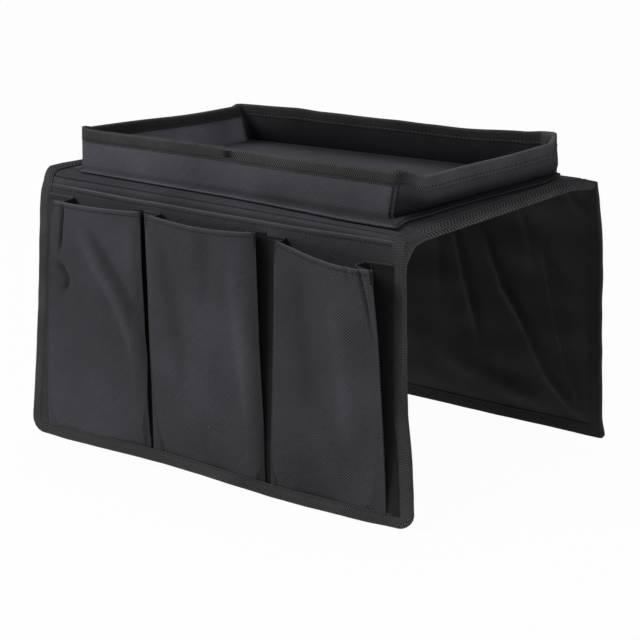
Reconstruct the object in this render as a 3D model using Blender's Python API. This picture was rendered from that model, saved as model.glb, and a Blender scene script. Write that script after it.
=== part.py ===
"""Sofa armrest organizer: a stiffened cloth saddle with a walled tray and pockets on its front flap.

Metres, +Z up. X runs along the arm, the front flap hangs on the -Y side and the back flap on the +Y side.
The origin is the middle of the arm seat, the underside of the top panel's lining.
"""

import math

import bmesh
import bpy
from mathutils import Vector

# Overall sizes
TOP_WIDTH = 0.308
HEM_WIDTH = 0.330
DEPTH = 0.250
HEIGHT = 0.200
BACK_SPLAY = math.radians(4.5)

# Cloth, board and tape
COVER_CLOTH = 0.0005
LINING_CLOTH = 0.0004
POCKET_CLOTH = 0.0005
BOARD = 0.0016
BOARD_MARGIN = 0.0012
BOARD_CORNER = 0.006
TAPE = 0.0004
TAPE_FOLD = 0.010
TAPE_ROUND = 0.001
CLOTH_SPRING = 0.0001
GAP = 0.0003
STACK_GAP = 0.0005

# Folds between the top panel and the flaps
FOLD_RADIUS = 0.005
FOLD_RUN = 0.006
FOLD_TAIL = 0.001

# Rounded lower corners of the flaps
FRONT_HEM_CORNER = 0.011
BACK_HEM_CORNER = 0.004
HEM_RISE = 0.016

# Tray on the top panel
TRAY_WIDTH = 0.270
TRAY_DEPTH = 0.202
TRAY_FRONT_INSET = 0.022
TRAY_HEIGHT = 0.0295
TRAY_BOARD = 0.0014
TRAY_CORNER = 0.006
RIM_FOLD = 0.009
WELT_WIDTH = 0.004
WELT_THICKNESS = 0.0012
FLOOR_MARGIN = 0.002

# Magazine pocket across the front flap
MAGAZINE_GAPE = 0.006
MAGAZINE_GAPE_DEPTH = 0.026
MAGAZINE_HEM = 0.008

# Three pleated pockets on the magazine pocket
POCKET_DROP = 0.0168
POCKET_DROOP = 0.0085
POCKET_SAG = 0.0025
POCKET_GAPE = 0.020
POCKET_BELLY = 0.003
POCKET_HEM = 0.010
MIDDLE_POCKET_WIDTH = 0.100
FOOT_INSET = 0.008
MOUTH_SHIFT = 0.016
PLEAT_TUCK = 0.016
POCKET_NAMES = ("left", "middle", "right")

# Left and right ends of each pocket, as shares of the pocket sizes above
FOOT_INSET_SHARES = {"left": (1.0, 0.25), "middle": (0.25, 0.25), "right": (0.25, 1.0)}
MOUTH_SHIFT_SHARES = {"left": (0.92, -0.19), "middle": (0.0, -0.5), "right": (0.55, -0.19)}
GAPE_SHARES = {"left": (0.75, 0.45), "middle": (0.6, 0.5), "right": (0.45, 1.0)}
DROOP_SHARES = {"left": (0.12, 0.0), "middle": (0.0, 0.0), "right": (0.35, 1.0)}
TUCK_SHARES = {"left": (0.6, 0.6), "middle": (0.6, 0.6), "right": (0.6, 1.0)}
SAG_SHARES = {"left": 0.2, "middle": 1.0, "right": 1.0}
LOWER_LEG_SHARE = 0.3
UPPER_LEG_SHARE = 0.35
BULGE_SHARE = 0.6

# Fineness of the curves
HEM_STEPS = 6
TRAY_STEPS = 4
FOLD_STEPS = 6
TAPE_STEPS = 3
CLOTH_ACROSS = 12
CLOTH_DOWN = 12
GUSSET_RINGS = 8
HEM_ROWS_SHARE = 0.34

# Layers through a panel, from the lining's inner face outwards
EDGE = TAPE + GAP
BOARD_IN = LINING_CLOTH + GAP
COVER_IN = BOARD_IN + BOARD + GAP
PANEL = COVER_IN + COVER_CLOTH
POCKET_PACK = PANEL + GAP + POCKET_CLOTH
LINING_LEVELS = (LINING_CLOTH, CLOTH_SPRING, 0)
COVER_LEVELS = (COVER_IN, PANEL, PANEL + CLOTH_SPRING)

# Places that follow from the sizes
FLOOR_Z = PANEL - HEIGHT
HINGE_PLANE = DEPTH / 2 - PANEL
FOLD_CENTRE_Y = HINGE_PLANE - FOLD_RADIUS
TOP_END = HINGE_PLANE - FOLD_RUN
BACK_HINGE_Z = -(2 * EDGE + STACK_GAP)
FRONT_HINGE_Z = BACK_HINGE_Z - (PANEL + 2 * EDGE + STACK_GAP)
TRAY_FRONT_Y = TRAY_FRONT_INSET - DEPTH / 2
TRAY_BASE_Z = PANEL + GAP
TRAY_RIM_Z = PANEL + TRAY_HEIGHT
TRAY_BOARD_IN = COVER_CLOTH + GAP
TRAY_LINING_IN = TRAY_BOARD_IN + TRAY_BOARD + GAP
TRAY_WALL = TRAY_LINING_IN + LINING_CLOTH

# Colour and roughness of each finish
FINISHES = {
    "cover_cloth": ((0.045, 0.045, 0.052, 1.0), 0.85),
    "pocket_cloth": ((0.050, 0.050, 0.058, 1.0), 0.85),
    "lining_cloth": ((0.018, 0.017, 0.017, 1.0), 0.75),
    "binding_tape": ((0.032, 0.034, 0.031, 1.0), 0.9),
    "stiffener_board": ((0.30, 0.29, 0.27, 1.0), 0.6),
}


def make_finish(name):
    """A plain material with the finish's colour and roughness."""
    colour, roughness = FINISHES[name]
    material = bpy.data.materials.new(name)
    material.use_nodes = True
    shader = material.node_tree.nodes["Principled BSDF"]
    shader.inputs["Base Color"].default_value = colour
    shader.inputs["Roughness"].default_value = roughness
    shader.inputs["Metallic"].default_value = 0.0
    return material


def add_object(name, bm, finish, parent=None):
    """Turns a bmesh into a closed, outward-facing object of the given finish."""
    bmesh.ops.remove_doubles(bm, verts=bm.verts, dist=TAPE / 1000)
    bmesh.ops.recalc_face_normals(bm, faces=bm.faces)
    mesh = bpy.data.meshes.new(name)
    bm.to_mesh(mesh)
    bm.free()
    mesh.materials.append(bpy.data.materials[finish])
    obj = bpy.data.objects.new(name, mesh)
    bpy.context.collection.objects.link(obj)
    obj.parent = parent
    return obj


def add_empty(name, location, rotation, parent=None):
    """An empty that marks a joint's axis and carries the pieces that turn about it."""
    empty = bpy.data.objects.new(name, None)
    empty.location = location
    empty.rotation_euler = rotation
    empty.parent = parent
    bpy.context.collection.objects.link(empty)
    return empty


def smooth_step(t):
    """Eases from 0 to 1."""
    t = min(max(t, 0.0), 1.0)
    return t * t * (3 - 2 * t)


def mix(a, b, t):
    return a + (b - a) * t


def rounded_outline(corners, radii, inset, steps):
    """A convex outline, anticlockwise, moved in by inset, with an arc at each corner that has a radius.

    Every inset gives the same number of points, so that outlines can be lofted to each other.
    """
    count = len(corners)
    ways = [(corners[(i + 1) % count] - corners[i]).normalized() for i in range(count)]
    lefts = [Vector((-way.y, way.x)) for way in ways]
    points = []
    for i, corner in enumerate(corners):
        before, after = ways[i - 1], ways[i]
        turn = math.atan2(before.cross(after), before.dot(after))
        moved = corner + (lefts[i - 1] + lefts[i]) * (inset / (1 + math.cos(turn)))
        if not radii[i]:
            points.append(moved)
            continue
        radius = max(radii[i] - inset, 0.0)
        centre = moved - before * (radius * math.tan(turn / 2)) + lefts[i - 1] * radius
        start = math.atan2(-lefts[i - 1].y, -lefts[i - 1].x)
        for step in range(steps + 1):
            angle = start + turn * step / steps
            points.append(centre + Vector((math.cos(angle), math.sin(angle))) * radius)
    return points


def loft(name, rings, finish, parent=None, closed=False):
    """A solid through rings of as many points each, with flat ends unless it closes on itself."""
    bm = bmesh.new()
    loops = [[bm.verts.new(point) for point in ring] for ring in rings]
    pairs = list(zip(loops, loops[1:]))
    if closed:
        pairs.append((loops[-1], loops[0]))
    for one, two in pairs:
        for i in range(len(one)):
            j = (i + 1) % len(one)
            bm.faces.new((one[i], one[j], two[j], two[i]))
    if not closed:
        bm.faces.new(loops[0])
        bm.faces.new(loops[-1])
    return add_object(name, bm, finish, parent)


def slab(name, outline, place, low, high, finish, parent=None):
    """A flat layer: the outline's face, extruded from low to high. place turns (u, v, w) into a point."""
    bm = bmesh.new()
    face = bm.faces.new([bm.verts.new(place(p.x, p.y, low)) for p in outline])
    raised = bmesh.ops.extrude_face_region(bm, geom=[face])
    step = place(0, 0, high) - place(0, 0, low)
    verts = [part for part in raised["geom"] if isinstance(part, bmesh.types.BMVert)]
    bmesh.ops.translate(bm, verts=verts, vec=step)
    return add_object(name, bm, finish, parent)


def sprung_layer(name, outline, sprung, place, levels, finish, parent=None):
    """A cloth layer whose middle stands a little proud, inside what presses on its edges.

    levels are the heights of its flat side, of its pressed edges and of its middle.
    """
    flat, pressed, middle = levels
    steps = ((outline, flat), (outline, pressed), (sprung, pressed), (sprung, middle))
    loft(name, [[place(p.x, p.y, w) for p in points] for points, w in steps], finish, parent)


def sheet(name, inner, outer, across, down, finish, parent=None):
    """A bent sheet of cloth between two surfaces, each given as a function of the shares across and up."""
    bm = bmesh.new()
    for surface in (inner, outer):
        grid = bmesh.ops.create_grid(bm, x_segments=across, y_segments=down, size=1)
        for vert in grid["verts"]:
            vert.co = surface((vert.co.x + 1) / 2, (vert.co.y + 1) / 2)
    rims = [edge for edge in bm.edges if edge.is_boundary]
    bmesh.ops.bridge_loops(bm, edges=rims)
    return add_object(name, bm, finish, parent)


def tape_section(low, high, reach):
    """The tape folded over an edge, as (distance from the fold, place across the layers) points."""
    outer, inner = [], []
    for centre, side in ((high - TAPE_ROUND, 1), (low + TAPE_ROUND, -1)):
        for step in range(TAPE_STEPS + 1):
            turn = math.pi / 2 * (step if side < 0 else TAPE_STEPS - step) / TAPE_STEPS
            for radius, points in ((TAPE_ROUND, outer), (TAPE_ROUND - TAPE, inner)):
                away = TAPE_ROUND - radius * math.cos(turn)
                points.append((away, centre + side * radius * math.sin(turn)))
    outer = [(reach, high)] + outer + [(reach, low)]
    inner = [(reach, high - TAPE)] + inner + [(reach, low + TAPE)]
    return outer + inner[::-1]


def flat_place(u, v, w):
    """Places a layer that lies level: w is up."""
    return Vector((u, v, w))


def flap_place(u, v, w):
    """Places a layer in a flap's own frame: v is up the flap, w is out from its lining."""
    return Vector((u, -w, v))


class Flap:
    """Where one flap hangs, with the heights of its ends in its own frame, whose zero is the hinge."""

    def __init__(self, name, side, splay, hinge_z, hem_corner, pack):
        self.name, self.side, self.splay = name, side, splay
        self.hinge_z, self.hem_corner, self.pack = hinge_z, hem_corner, pack
        sine, cosine = math.sin(splay), math.cos(splay)
        self.fold_end = (FOLD_RADIUS * (sine - 1) - hinge_z) / cosine
        self.hinge_y = FOLD_CENTRE_Y + FOLD_RADIUS * cosine + self.fold_end * sine
        self.start = self.fold_end - FOLD_TAIL - GAP
        low_corner = (EDGE - TAPE_ROUND) * sine
        self.length = TAPE_ROUND + (hinge_z - FLOOR_Z - low_corner - TAPE_ROUND) / cosine
        turned = 0 if side < 0 else math.pi
        self.empty = add_empty(name + "_hinge", (0, side * self.hinge_y, hinge_z), (-splay, 0, turned))

    def half_width(self, height):
        """Half the flap's width at a height under its hinge: it widens evenly down to the hem."""
        return mix(TOP_WIDTH, HEM_WIDTH, -height / self.length) / 2

    def end_name(self, across):
        """Left or right, as seen from the front, for the end at -1 or 1 in the flap's own frame."""
        return "left" if across * self.side > 0 else "right"

    def outline(self, inset, top=None):
        """The flap's outline inside its binding, anticlockwise from the lower left corner."""
        top = self.start if top is None else top
        low_z, high_z = -self.length, top + inset
        low, high = self.half_width(low_z), self.half_width(high_z)
        corners = [Vector(c) for c in ((-low, low_z), (low, low_z), (high, high_z), (-high, high_z))]
        return rounded_outline(corners, (self.hem_corner, self.hem_corner, 0, 0), inset, HEM_STEPS)

    def fold_stations(self):
        """The fold's way from the top panel to the flap: directions, each with a straight run beside it."""
        turns = [mix(math.pi / 2, self.splay, step / FOLD_STEPS) for step in range(FOLD_STEPS + 1)]
        lead = FOLD_RUN - FOLD_RADIUS
        return [(turns[0], -lead)] + [(turn, 0) for turn in turns] + [(turns[-1], FOLD_TAIL)]

    def fold_point(self, station, layer, across):
        """A point of the fold at one station, layer out from the lining, across along X."""
        turn, run = station
        reach = FOLD_RADIUS + layer
        out = FOLD_CENTRE_Y + reach * math.cos(turn) + run * math.sin(turn)
        return Vector((across, self.side * out, reach * math.sin(turn) - FOLD_RADIUS - run * math.cos(turn)))


def make_top_panel():
    """The flat top: lining, stiffener board and cover, bound along both side edges."""
    half, end = TOP_WIDTH / 2, TOP_END - GAP
    corners = [Vector(c) for c in ((-half, -end), (half, -end), (half, end), (-half, end))]
    cloth = [Vector((math.copysign(half - EDGE, c.x), c.y)) for c in corners]
    board = rounded_outline(cloth, [BOARD_CORNER] * len(cloth), BOARD_MARGIN, HEM_STEPS)
    seat_half, seat_end = half - TAPE_FOLD - GAP, end - GAP
    seat = [Vector((math.copysign(seat_half, c.x), math.copysign(seat_end, c.y))) for c in corners]
    sprung_layer("top_lining", cloth, seat, flat_place, LINING_LEVELS, "lining_cloth")
    slab("top_board", board, flat_place, BOARD_IN, BOARD_IN + BOARD, "stiffener_board")
    floor = rounded_outline(tray_corners(), [0] * len(corners), TRAY_WALL + FLOOR_MARGIN, TRAY_STEPS)
    sprung_layer("top_cover", cloth, floor, flat_place, COVER_LEVELS, "cover_cloth")
    section = tape_section(-EDGE, PANEL + EDGE, TAPE_FOLD)
    for across, name in ((-1, "top_binding_left"), (1, "top_binding_right")):
        rings = [[(across * (half - a), y, w) for a, w in section] for y in (-end, end)]
        loft(name, rings, "binding_tape")


def make_fold(flap):
    """The soft fold from the top panel to a flap: cover, lining, and the binding over both ends."""
    stations = flap.fold_stations()
    half = TOP_WIDTH / 2
    layers = (("cover", COVER_IN, PANEL, "cover_cloth"), ("lining", 0, LINING_CLOTH, "lining_cloth"))
    for layer, low, high, finish in layers:
        rings = []
        for across in (-(half - EDGE), half - EDGE):
            under = [flap.fold_point(station, low, across) for station in stations]
            over = [flap.fold_point(station, high, across) for station in reversed(stations)]
            rings.append(under + over)
        loft(flap.name + "_fold_" + layer, rings, finish)
    section = tape_section(-EDGE, PANEL + EDGE, TAPE_FOLD)
    for across, end in ((-1, "left"), (1, "right")):
        rings = [
            [flap.fold_point(station, w, across * (half - a)) for a, w in section]
            for station in stations
        ]
        loft(flap.name + "_fold_binding_" + end, rings, "binding_tape")


def make_flap(flap):
    """A hanging flap: lining, stiffener board and cover, bound at both sides and along the hem."""
    cloth = flap.outline(EDGE)
    corners = (flap.hem_corner + BOARD_CORNER,) * 2 + (BOARD_CORNER,) * 2
    board = rounded_outline(flap_board_corners(flap), corners, BOARD_MARGIN, HEM_STEPS)
    face = flap.outline(TAPE_FOLD + GAP, flap.start - GAP)
    sprung_layer(flap.name + "_lining", cloth, face, flap_place, LINING_LEVELS, "lining_cloth", flap.empty)
    slab(flap.name + "_board", board, flap_place, BOARD_IN, BOARD_IN + BOARD, "stiffener_board", flap.empty)
    slab(flap.name + "_cover", cloth, flap_place, COVER_IN, PANEL, "cover_cloth", flap.empty)

    section = tape_section(-EDGE, flap.pack + EDGE, TAPE_FOLD)
    rise = HEM_RISE - flap.length
    for across in (-1, 1):
        rings = [
            [(across * (flap.half_width(z) - a), -w, z) for a, w in section]
            for z in (flap.start, rise)
        ]
        loft(flap.name + "_binding_" + flap.end_name(across), rings, "binding_tape", flap.empty)

    low = rise - GAP
    insets = {a: flap.outline(a) for a, _ in section}
    lower = range(2 * (HEM_STEPS + 1))
    rings = [[(-(flap.half_width(low) - a), -w, low) for a, w in section]]
    rings += [[(insets[a][i].x, -w, insets[a][i].y) for a, w in section] for i in lower]
    rings += [[(flap.half_width(low) - a, -w, low) for a, w in section]]
    loft(flap.name + "_hem_binding", rings, "binding_tape", flap.empty)


def flap_board_corners(flap):
    """The corners of the space that a flap's board fills, inside its cloth."""
    low, high = flap.half_width(-flap.length) - EDGE, flap.half_width(flap.start) - EDGE
    low_z = EDGE - flap.length
    return [Vector(c) for c in ((-low, low_z), (low, low_z), (high, flap.start), (-high, flap.start))]


class FrontPockets:
    """The shapes of the pocket cloths on the front flap, as places in the flap's own frame."""

    def __init__(self, flap):
        self.flap = flap
        self.foot = EDGE - flap.length
        self.mouth = flap.start
        self.corner = flap.hem_corner + GAP
        self.pocket_foot = max(TAPE_FOLD, flap.hem_corner) + GAP - flap.length
        leg_layers = 2 * (POCKET_CLOTH + GAP)
        self.foot_pack = POCKET_PACK + GAP + leg_layers

    def magazine_row(self, up):
        """Height and half width of the magazine panel at a share of the way up, round its lower corners."""
        if up < HEM_ROWS_SHARE:
            turn = math.pi / 2 * up / HEM_ROWS_SHARE
            height = self.foot + self.corner * (1 - math.cos(turn))
            return height, self.flap.half_width(height) - EDGE - self.corner * (1 - math.sin(turn))
        height = mix(self.foot + self.corner, self.mouth, (up - HEM_ROWS_SHARE) / (1 - HEM_ROWS_SHARE))
        return height, self.flap.half_width(height) - EDGE

    def free_share(self, across, height):
        """Rises from 0 at the bindings to 1 in the middle of the magazine panel."""
        clear = self.flap.half_width(height) - TAPE_FOLD - GAP
        return smooth_step((1 - abs(across) / clear) / BULGE_SHARE)

    def magazine_rise(self, across, height):
        """How far the magazine panel stands off the flap: it gapes at its mouth, between the bindings."""
        open_share = smooth_step((height - self.mouth + MAGAZINE_GAPE_DEPTH) / MAGAZINE_GAPE_DEPTH)
        return MAGAZINE_GAPE * open_share * self.free_share(across, height)

    def magazine_inner(self, s, up):
        height, half = self.magazine_row(up)
        across = mix(-half, half, s)
        return Vector((across, -(PANEL + GAP + self.magazine_rise(across, height)), height))

    def magazine_outer(self, s, up):
        height, half = self.magazine_row(up)
        across = mix(-half, half, s)
        hem = smooth_step((height - self.mouth + MAGAZINE_HEM) / (MAGAZINE_HEM / 2))
        cloth = POCKET_CLOTH * (1 + hem * self.free_share(across, height))
        return Vector((across, -(PANEL + GAP + self.magazine_rise(across, height) + cloth), height))

    def panel_face(self, across, height):
        """The outer face of the magazine panel, out from the flap's lining."""
        return POCKET_PACK + self.magazine_rise(across, height)

    def seam(self, name, end, height):
        """Where a pocket is sewn down: at a binding, or at the line between two pockets."""
        number = POCKET_NAMES.index(name) + end
        if number == 0:
            return TAPE_FOLD - self.flap.half_width(height)
        if number == len(POCKET_NAMES):
            return self.flap.half_width(height) - TAPE_FOLD
        return (number - len(POCKET_NAMES) / 2) * MIDDLE_POCKET_WIDTH

    def mouth_height(self, name, s):
        """The height of a pocket's mouth at a share of the way across it."""
        left, right = DROOP_SHARES[name]
        drop = POCKET_DROP + POCKET_DROOP * mix(left, right, smooth_step(s))
        sag = POCKET_SAG * SAG_SHARES[name] * math.sin(math.pi * s)
        return PANEL - drop - sag - self.flap.hinge_z

    def edge(self, name, end, up):
        """Where a pocket front's left (0) or right (1) edge is across the flap, at a share of the way up."""
        way = 1 - 2 * end
        height = mix(self.pocket_foot, self.mouth_height(name, end), up)
        foot = self.seam(name, end, self.pocket_foot) + way * FOOT_INSET * FOOT_INSET_SHARES[name][end]
        top = self.seam(name, end, height) + MOUTH_SHIFT * MOUTH_SHIFT_SHARES[name][end]
        return mix(foot, top, up)

    def front_rise(self, name, s, up):
        """The inner face of a pocket's front, out from the flap's lining."""
        left, right = GAPE_SHARES[name]
        gape = PANEL + POCKET_GAPE * mix(left, right, s)
        belly = POCKET_BELLY * math.sin(math.pi * s) * math.sin(math.pi / 2 * up)
        return mix(self.foot_pack, gape, up) + belly

    def front_inner(self, name, s, up):
        height = mix(self.pocket_foot, self.mouth_height(name, s), up)
        across = mix(self.edge(name, 0, up), self.edge(name, 1, up), s)
        return Vector((across, -self.front_rise(name, s, up), height))

    def front_outer(self, name, s, up):
        point = self.front_inner(name, s, up)
        hem = self.mouth_height(name, s) - POCKET_HEM
        point.y -= POCKET_CLOTH * (1 + smooth_step((point.z - hem) / (POCKET_HEM / 2)))
        return point

    def gusset_ring(self, name, end, up):
        """A section through a pleated side: from the seam under the front, and back to the front's edge."""
        way = 1 - 2 * end
        height = mix(self.pocket_foot, self.mouth_height(name, end), up)
        seam = self.seam(name, end, height) + way * GAP
        front = self.edge(name, end, up)
        fold = max(way * front, way * seam) * way + way * PLEAT_TUCK * TUCK_SHARES[name][end]
        base = self.panel_face(seam, height) + GAP
        depth = self.front_rise(name, end, up) - GAP - base
        spare = max(depth - 2 * POCKET_CLOTH - GAP, 0.0)
        lower = base + spare * LOWER_LEG_SHARE
        upper = base + depth - spare * UPPER_LEG_SHARE
        inside = fold - way * POCKET_CLOTH
        section = [
            (seam, base),
            (fold, lower),
            (fold, upper),
            (front, base + depth),
            (front, base + depth - POCKET_CLOTH),
            (inside, upper - POCKET_CLOTH),
            (inside, lower + POCKET_CLOTH),
            (seam, base + POCKET_CLOTH),
        ]
        return [Vector((across, -out, height)) for across, out in section]


def make_pockets(flap):
    """The magazine pocket's panel and the three pleated pockets sewn to it."""
    pockets = FrontPockets(flap)
    sheet(
        "magazine_pocket_panel",
        pockets.magazine_inner,
        pockets.magazine_outer,
        2 * CLOTH_ACROSS,
        CLOTH_DOWN,
        "pocket_cloth",
        flap.empty,
    )
    for name in POCKET_NAMES:
        make_pocket(pockets, name)


def make_pocket(pockets, name):
    """One pocket: a front that swings on its bottom seam, and a pleated gusset at each side."""
    flap = pockets.flap
    middle = (pockets.seam(name, 0, pockets.pocket_foot) + pockets.seam(name, 1, pockets.pocket_foot)) / 2
    origin = Vector((middle, -pockets.foot_pack, pockets.pocket_foot))
    hinge = add_empty("pocket_" + name + "_hinge", origin, (0, 0, 0), flap.empty)
    sheet(
        "pocket_" + name + "_front",
        lambda s, up: pockets.front_inner(name, s, up) - origin,
        lambda s, up: pockets.front_outer(name, s, up) - origin,
        CLOTH_ACROSS,
        CLOTH_DOWN,
        "pocket_cloth",
        hinge,
    )
    for end, side in ((0, "left"), (1, "right")):
        rings = [
            pockets.gusset_ring(name, end, ring / (GUSSET_RINGS - 1))
            for ring in range(GUSSET_RINGS)
        ]
        loft("pocket_" + name + "_gusset_" + side, rings, "pocket_cloth", flap.empty)


def tray_corners():
    """The corners of the tray's plan, anticlockwise from the front left."""
    half, back = TRAY_WIDTH / 2, TRAY_FRONT_Y + TRAY_DEPTH
    return [Vector(c) for c in ((-half, TRAY_FRONT_Y), (half, TRAY_FRONT_Y), (half, back), (-half, back))]


def tray_outline(inset):
    """The tray's rounded plan, moved in by inset."""
    corners = tray_corners()
    return rounded_outline(corners, [TRAY_CORNER] * len(corners), inset, TRAY_STEPS)


def wall_points(inset, wall):
    """The plan of one tray wall, from the middle of one corner to the middle of the next, less half a gap."""
    outline = tray_outline(inset)
    first = wall * (TRAY_STEPS + 1) + TRAY_STEPS // 2
    points = [outline[(first + i) % len(outline)] for i in range(TRAY_STEPS + 2)]
    for end, inner in ((0, 1), (-1, -2)):
        way = points[inner] - points[end]
        points[end] = points[end] + way.normalized() * min(GAP, way.length / 2)
    return points


def make_tray_wall(wall, side):
    """One wall of the tray: an outer cloth, a stiffener strip and a lining."""
    high = TRAY_RIM_Z - EDGE
    layers = (
        ("cover", 0, COVER_CLOTH, "cover_cloth"),
        ("lining", TRAY_LINING_IN, TRAY_WALL, "lining_cloth"),
    )
    for layer, outer, inner, finish in layers:
        plan = wall_points(outer, wall) + wall_points(inner, wall)[::-1]
        slab("tray_" + side + "_" + layer, plan, flat_place, TRAY_BASE_Z, high, finish)
    outer, inner = tray_outline(TRAY_BOARD_IN), tray_outline(TRAY_BOARD_IN + TRAY_BOARD)
    first = wall * (TRAY_STEPS + 1) + TRAY_STEPS
    second = (first + 1) % len(outer)
    margin = (outer[second] - outer[first]).normalized() * BOARD_MARGIN
    plan = [outer[first] + margin, outer[second] - margin, inner[second] - margin, inner[first] + margin]
    base, top = TRAY_BASE_Z + BOARD_MARGIN, high - BOARD_MARGIN
    slab("tray_" + side + "_board", plan, flat_place, base, top, "stiffener_board")


def make_tray():
    """The raised tray: four walls, the binding over their rim, and the welt that sews them to the top."""
    for wall, side in enumerate(("front", "right", "back", "left")):
        make_tray_wall(wall, side)

    section = tape_section(-EDGE, TRAY_WALL + EDGE, RIM_FOLD)
    outlines = {w: tray_outline(w) for _, w in section}
    stations = range(len(tray_outline(0)))
    rings = [
        [(outlines[w][i].x, outlines[w][i].y, TRAY_RIM_Z - a) for a, w in section]
        for i in stations
    ]
    loft("tray_rim_binding", rings, "binding_tape", closed=True)

    lip = WELT_THICKNESS / 2
    turns = [math.pi * (step / (2 * TAPE_STEPS) - 0.5) for step in range(2 * TAPE_STEPS + 1)]
    section = [(-GAP, TRAY_BASE_Z), (-GAP, TRAY_BASE_Z + WELT_THICKNESS)]
    section += [
        (lip * (1 - math.cos(turn)) - GAP - WELT_WIDTH, TRAY_BASE_Z + lip + lip * math.sin(turn))
        for turn in reversed(turns)
    ]
    outlines = {w: tray_outline(w) for w, _ in section}
    rings = [[(outlines[w][i].x, outlines[w][i].y, z) for w, z in section] for i in stations]
    loft("tray_base_welt", rings, "cover_cloth", closed=True)


def main():
    for obj in list(bpy.data.objects):
        bpy.data.objects.remove(obj, do_unlink=True)
    for name in FINISHES:
        make_finish(name)
    front = Flap("front", -1, 0.0, FRONT_HINGE_Z, FRONT_HEM_CORNER, POCKET_PACK)
    back = Flap("back", 1, BACK_SPLAY, BACK_HINGE_Z, BACK_HEM_CORNER, PANEL)
    make_top_panel()
    make_tray()
    make_fold(front)
    make_fold(back)
    make_flap(front)
    make_flap(back)
    make_pockets(front)


main()
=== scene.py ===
import math
from functools import partial

import bpy
import numpy as np
from mathutils import Matrix, Vector


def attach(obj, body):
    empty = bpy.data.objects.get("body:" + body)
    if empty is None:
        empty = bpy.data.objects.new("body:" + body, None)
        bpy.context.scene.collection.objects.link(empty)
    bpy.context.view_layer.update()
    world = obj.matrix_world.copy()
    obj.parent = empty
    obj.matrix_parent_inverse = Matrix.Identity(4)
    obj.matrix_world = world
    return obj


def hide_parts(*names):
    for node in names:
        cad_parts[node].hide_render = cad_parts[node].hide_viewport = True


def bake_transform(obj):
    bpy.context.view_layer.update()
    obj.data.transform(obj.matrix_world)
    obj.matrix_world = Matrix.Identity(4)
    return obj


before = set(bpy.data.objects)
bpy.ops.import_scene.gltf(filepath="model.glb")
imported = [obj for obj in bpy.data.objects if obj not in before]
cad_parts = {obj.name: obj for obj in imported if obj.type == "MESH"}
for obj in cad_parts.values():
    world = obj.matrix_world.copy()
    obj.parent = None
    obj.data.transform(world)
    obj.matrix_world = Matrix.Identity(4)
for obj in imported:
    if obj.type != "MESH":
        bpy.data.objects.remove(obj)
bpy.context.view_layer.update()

# The saddle that the model gives, in metres
TOP_HALF = 0.154
HEM_HALF = 0.165
FOLD_START = 0.1169
FOLD_RADIUS = 0.005
BACK_SPLAY = math.radians(4.5)
PANEL = 0.0031
MIDDLE_LAYER = FOLD_RADIUS + PANEL / 2
HANG = {-1: 0.1919, 1: 0.1929}
HEM_CORNER = {-1: 0.011, 1: 0.004}
SPLIT = {-1: 0.1015, 1: 0.0975}
EDGE = 0.0007
FOLD_START_Z = -0.0069
FLOOR_Z = -0.1969
FLAPS = {-1: "front_flap", 1: "back_flap"}
TOP_REACH = 0.122
BOARD_END = 0.1135
FOLD_STITCH = 0.1229
FOLD_STITCH_HALF = 0.142

# Cloth, board and tape
CLOTH = 0.0005
LINING = 0.0004
BOARD = 0.0016
BOARD_IN = 0.0007
POCKET_PACK = 0.0039
TAPE = 0.0004
TAPE_FOLD = 0.01
SEAM_LEG = 0.84
RIM_FOLD = 0.009
STITCH_PITCH = 0.0034
STITCH_LENGTH = 0.0027
THREAD = 0.00055

# The tray
TRAY_HALF = 0.135
TRAY_FRONT = -0.103
TRAY_BACK = 0.099
TRAY_BASE = 0.0034
TRAY_TALL = 0.0292
WALL_TOP = TRAY_TALL - 0.0015
TRAY_CORNER = 0.006
TRAY_WALL = 0.0029
TRAY_BOARD_IN = 0.0008
TRAY_BOARD = 0.0014
FLANGE = 0.0098

# How far the real one has settled: down at the corners of its top, and at the corners of its tray
TOP_SINK = {(-1, -1): 0.0003, (1, -1): -0.0032, (1, 1): 0.0016, (-1, 1): -0.0042}
RIGHT_DROOP = -0.0053
BACK_CORNER_DROOP = ((0.085, 0.112, 0.13, 0.141, 0.154), (0.0, -0.0028, -0.0043, -0.0045, -0.0083))
LEFT_LIFT = 0.0026
FLAP_SINK = {-1: (0.0015, -0.0005), 1: (-0.003, 0.0)}
FRONT_TROUGH = ((-0.14, 0.0, 0.03, 0.06, 0.1, 0.135, 0.154),
                (0.0004, 0.0004, 0.0008, 0.0016, 0.0028, 0.0028, 0.001))

# The inside of the fold at the front right corner is filled out: places along the saddle, inwards and downwards
CORNER_IN = ((0.1025, 0.1075, 0.1125, 0.1169, 0.1205, 0.1235, 0.1272, 0.1325, 0.1375, 0.142),
             (0.0, 0.0005, 0.0013, 0.003, 0.00355, 0.00364, 0.003, 0.0014, 0.0003, 0.0))
CORNER_DOWN = ((0.1015, 0.105, 0.11, 0.1125, 0.115, 0.1169, 0.119, 0.1205, 0.122, 0.1235, 0.125, 0.1272, 0.13, 0.135,
                0.14, 0.145, 0.152),
               (0.0, 0.00036, 0.00028, 0.00057, 0.00142, 0.0025, 0.0034, 0.00476, 0.0066, 0.0086, 0.0102, 0.0108,
                0.0088, 0.0056, 0.003, 0.0013, 0.0))

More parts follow.
